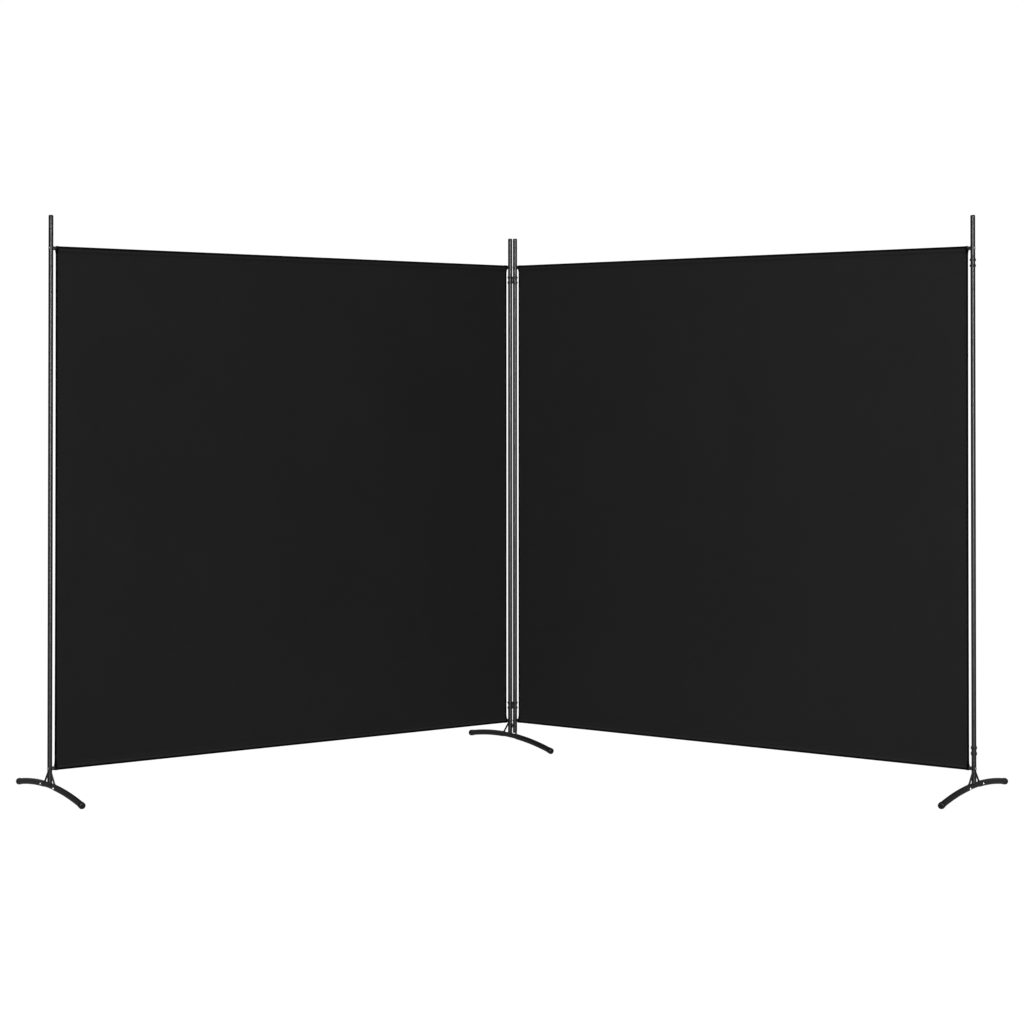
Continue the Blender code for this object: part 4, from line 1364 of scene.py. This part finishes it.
def add_clips(paint: Paintbox) -> None:
    """Add the clips: the hinge clips between the inner posts and the spare ones on the outer post."""
    left, right = centre_of("left_inner_post_cap"), centre_of("right_inner_post_cap")
    stand = centre_of("right_outer_post_cap")
    for level in ("upper", "lower"):
        for kind, start, body in (("hinge", left, "hinge_clips"),
                                  ("spare", stand, f"{level}_spare_clip_body")):
            node = f"{level}_{kind}_clip"
            middle = centre_of(node)
            run = middle - start if kind == "spare" else right - left
            place = move(start[0], start[1], middle[2]) @ turn(math.atan2(run[1], run[0]), "Z")
            paint.dress(Clip().skin(), node + "_moulding", paint.clip, body, [node], place)


# ---------------------------------------------------------------------------------------------
# Studio


@dataclass
class Studio:
    """A white sweep, soft lamps and the camera."""

    hinge_y: float
    distance: float = 7.5899     # hinge to camera
    camera_height: float = 1.2321
    camera_x: float = 0.0166
    pitch: float = math.radians(0.584)
    lens: float = 74.91
    shift: tuple[float, float] = (-0.0051, -0.1327)
    bend: float = 2.5            # radius of the paper's curve
    floor: tuple[float, float] = (-14.0, 6.0)  # the level paper, front to back
    half_width: float = 16.0
    surround: float = 12.5       # radius at which the round wall starts to rise

    def build(self) -> None:
        """Build the studio."""
        self.add_paper()
        self.add_light("front_softbox", (0.8, -9.5, 1.6), (0.0, 0.4, 0.9), (1.5, 3.0), 680.0)
        self.add_light("rear_panel", (0.0, 6.0, 7.5), (0.0, 0.5, 1.0), (6.0, 2.5), 420.0)
        self.add_light("ceiling_panel", (0.0, -4.5, 6.0), (0.0, -2.0, 0.0), (8.0, 9.0), 360.0)
        self.add_world()
        self.add_camera()

    def add_paper(self) -> None:
        """Add the paper: a floor that curves up into a backdrop, and a round wall that only fills
        the view. A quarter circle joins the level part to the upright part of each."""
        recipe = Recipe("white_paper")
        paper = recipe.noise(recipe.place(), 3.0, 2.0)
        recipe.shade(Base_Color=recipe.mix(paper, grey(0.04), grey(0.05)), Roughness=1.0,
                     Specular_IOR_Level=0.0, Emission_Color=grey(1.0), Emission_Strength=0.98)
        t = np.linspace(0, math.pi / 2, 24)
        bend = self.bend * np.stack([np.sin(t), 1 - np.cos(t)], -1)
        front, back = self.floor
        floor = np.vstack([[(front, 0.0)], bend + [back, 0.0], [(back + self.bend, 14.0)]])
        across = np.array([-self.half_width, 0.0, self.half_width])
        self.add_sheet("studio_sweep", np.stack([across * np.ones((len(floor), 1)),
                                                 floor[:, :1] * np.ones(3),
                                                 floor[:, 1:] * np.ones(3) - 0.0002], -1), recipe.material)
        wall = np.vstack([bend + [self.surround, -0.01], [(self.surround + self.bend, 30.0)]])
        around = np.linspace(0, 2 * math.pi, 97)
        ring = self.add_sheet("studio_surround",
                              np.stack([wall[:, :1] * np.cos(around), wall[:, :1] * np.sin(around),
                                        wall[:, 1:] * np.ones_like(around)], -1), recipe.material)
        ring.visible_diffuse = ring.visible_shadow = False

    def add_sheet(self, name: str, points: Array, material: bpy.types.Material) -> bpy.types.Object:
        """Add a sheet of paper from a grid of points (rows, columns, 3), and return it."""
        mesh = bpy.data.meshes.new(name)
        rows, columns = points.shape[:2]
        i, j = np.meshgrid(np.arange(rows - 1), np.arange(columns - 1), indexing="ij")
        cell = i * columns + j
        faces = np.stack([cell, cell + 1, cell + columns + 1, cell + columns], -1).reshape(-1, 4)
        mesh.from_pydata(points.reshape(-1, 3).tolist(), [], faces.tolist())
        mesh.shade_smooth()
        mesh.materials.append(material)
        made = bpy.data.objects.new(name, mesh)
        bpy.context.scene.collection.objects.link(made)
        made.visible_glossy = False
        return made

    def add_light(self, name: str, at: tuple, aim: tuple, size: tuple, power: float) -> None:
        """Add a rectangular lamp that faces a point."""
        lamp = bpy.data.lights.new(name, "AREA")
        lamp.shape, lamp.size, lamp.size_y, lamp.energy = "RECTANGLE", *size, power
        made = bpy.data.objects.new(name, lamp)
        made.location = at
        made.rotation_euler = (Vector(aim) - Vector(at)).to_track_quat("-Z", "Y").to_euler()
        bpy.context.scene.collection.objects.link(made)

    def add_world(self) -> None:
        """Set a dim, even surround and plain colours."""
        world = bpy.data.worlds.new("studio_air")
        world.use_nodes = True
        background = world.node_tree.nodes["Background"]
        background.inputs["Color"].default_value = (1.0, 1.0, 1.0, 1.0)
        background.inputs["Strength"].default_value = 0.16
        bpy.context.scene.world = world
        bpy.context.scene.view_settings.view_transform = "Standard"

    def add_camera(self) -> None:
        """Add the camera, level enough that upright lines stay upright."""
        data = bpy.data.cameras.new("camera")
        data.lens, data.sensor_width = self.lens, 36.0
        data.shift_x, data.shift_y = self.shift
        data.clip_start, data.clip_end = 0.1, 100.0
        camera = bpy.data.objects.new("camera", data)
        camera.location = (self.camera_x, self.hinge_y - self.distance, self.camera_height)
        camera.rotation_euler = (math.pi / 2 + self.pitch, 0.0, 0.0)
        bpy.context.scene.collection.objects.link(camera)
        bpy.context.scene.camera = camera


def main() -> None:
    """Build the divider and its studio."""
    logging.basicConfig(level=logging.INFO, format="%(message)s")
    paint = Paintbox()
    for side in Side:
        Panel(side, paint).build()
    add_clips(paint)
    Studio(frame["joints"][0]["pos_m"][1]).build()


if __name__ == "__main__":
    main()
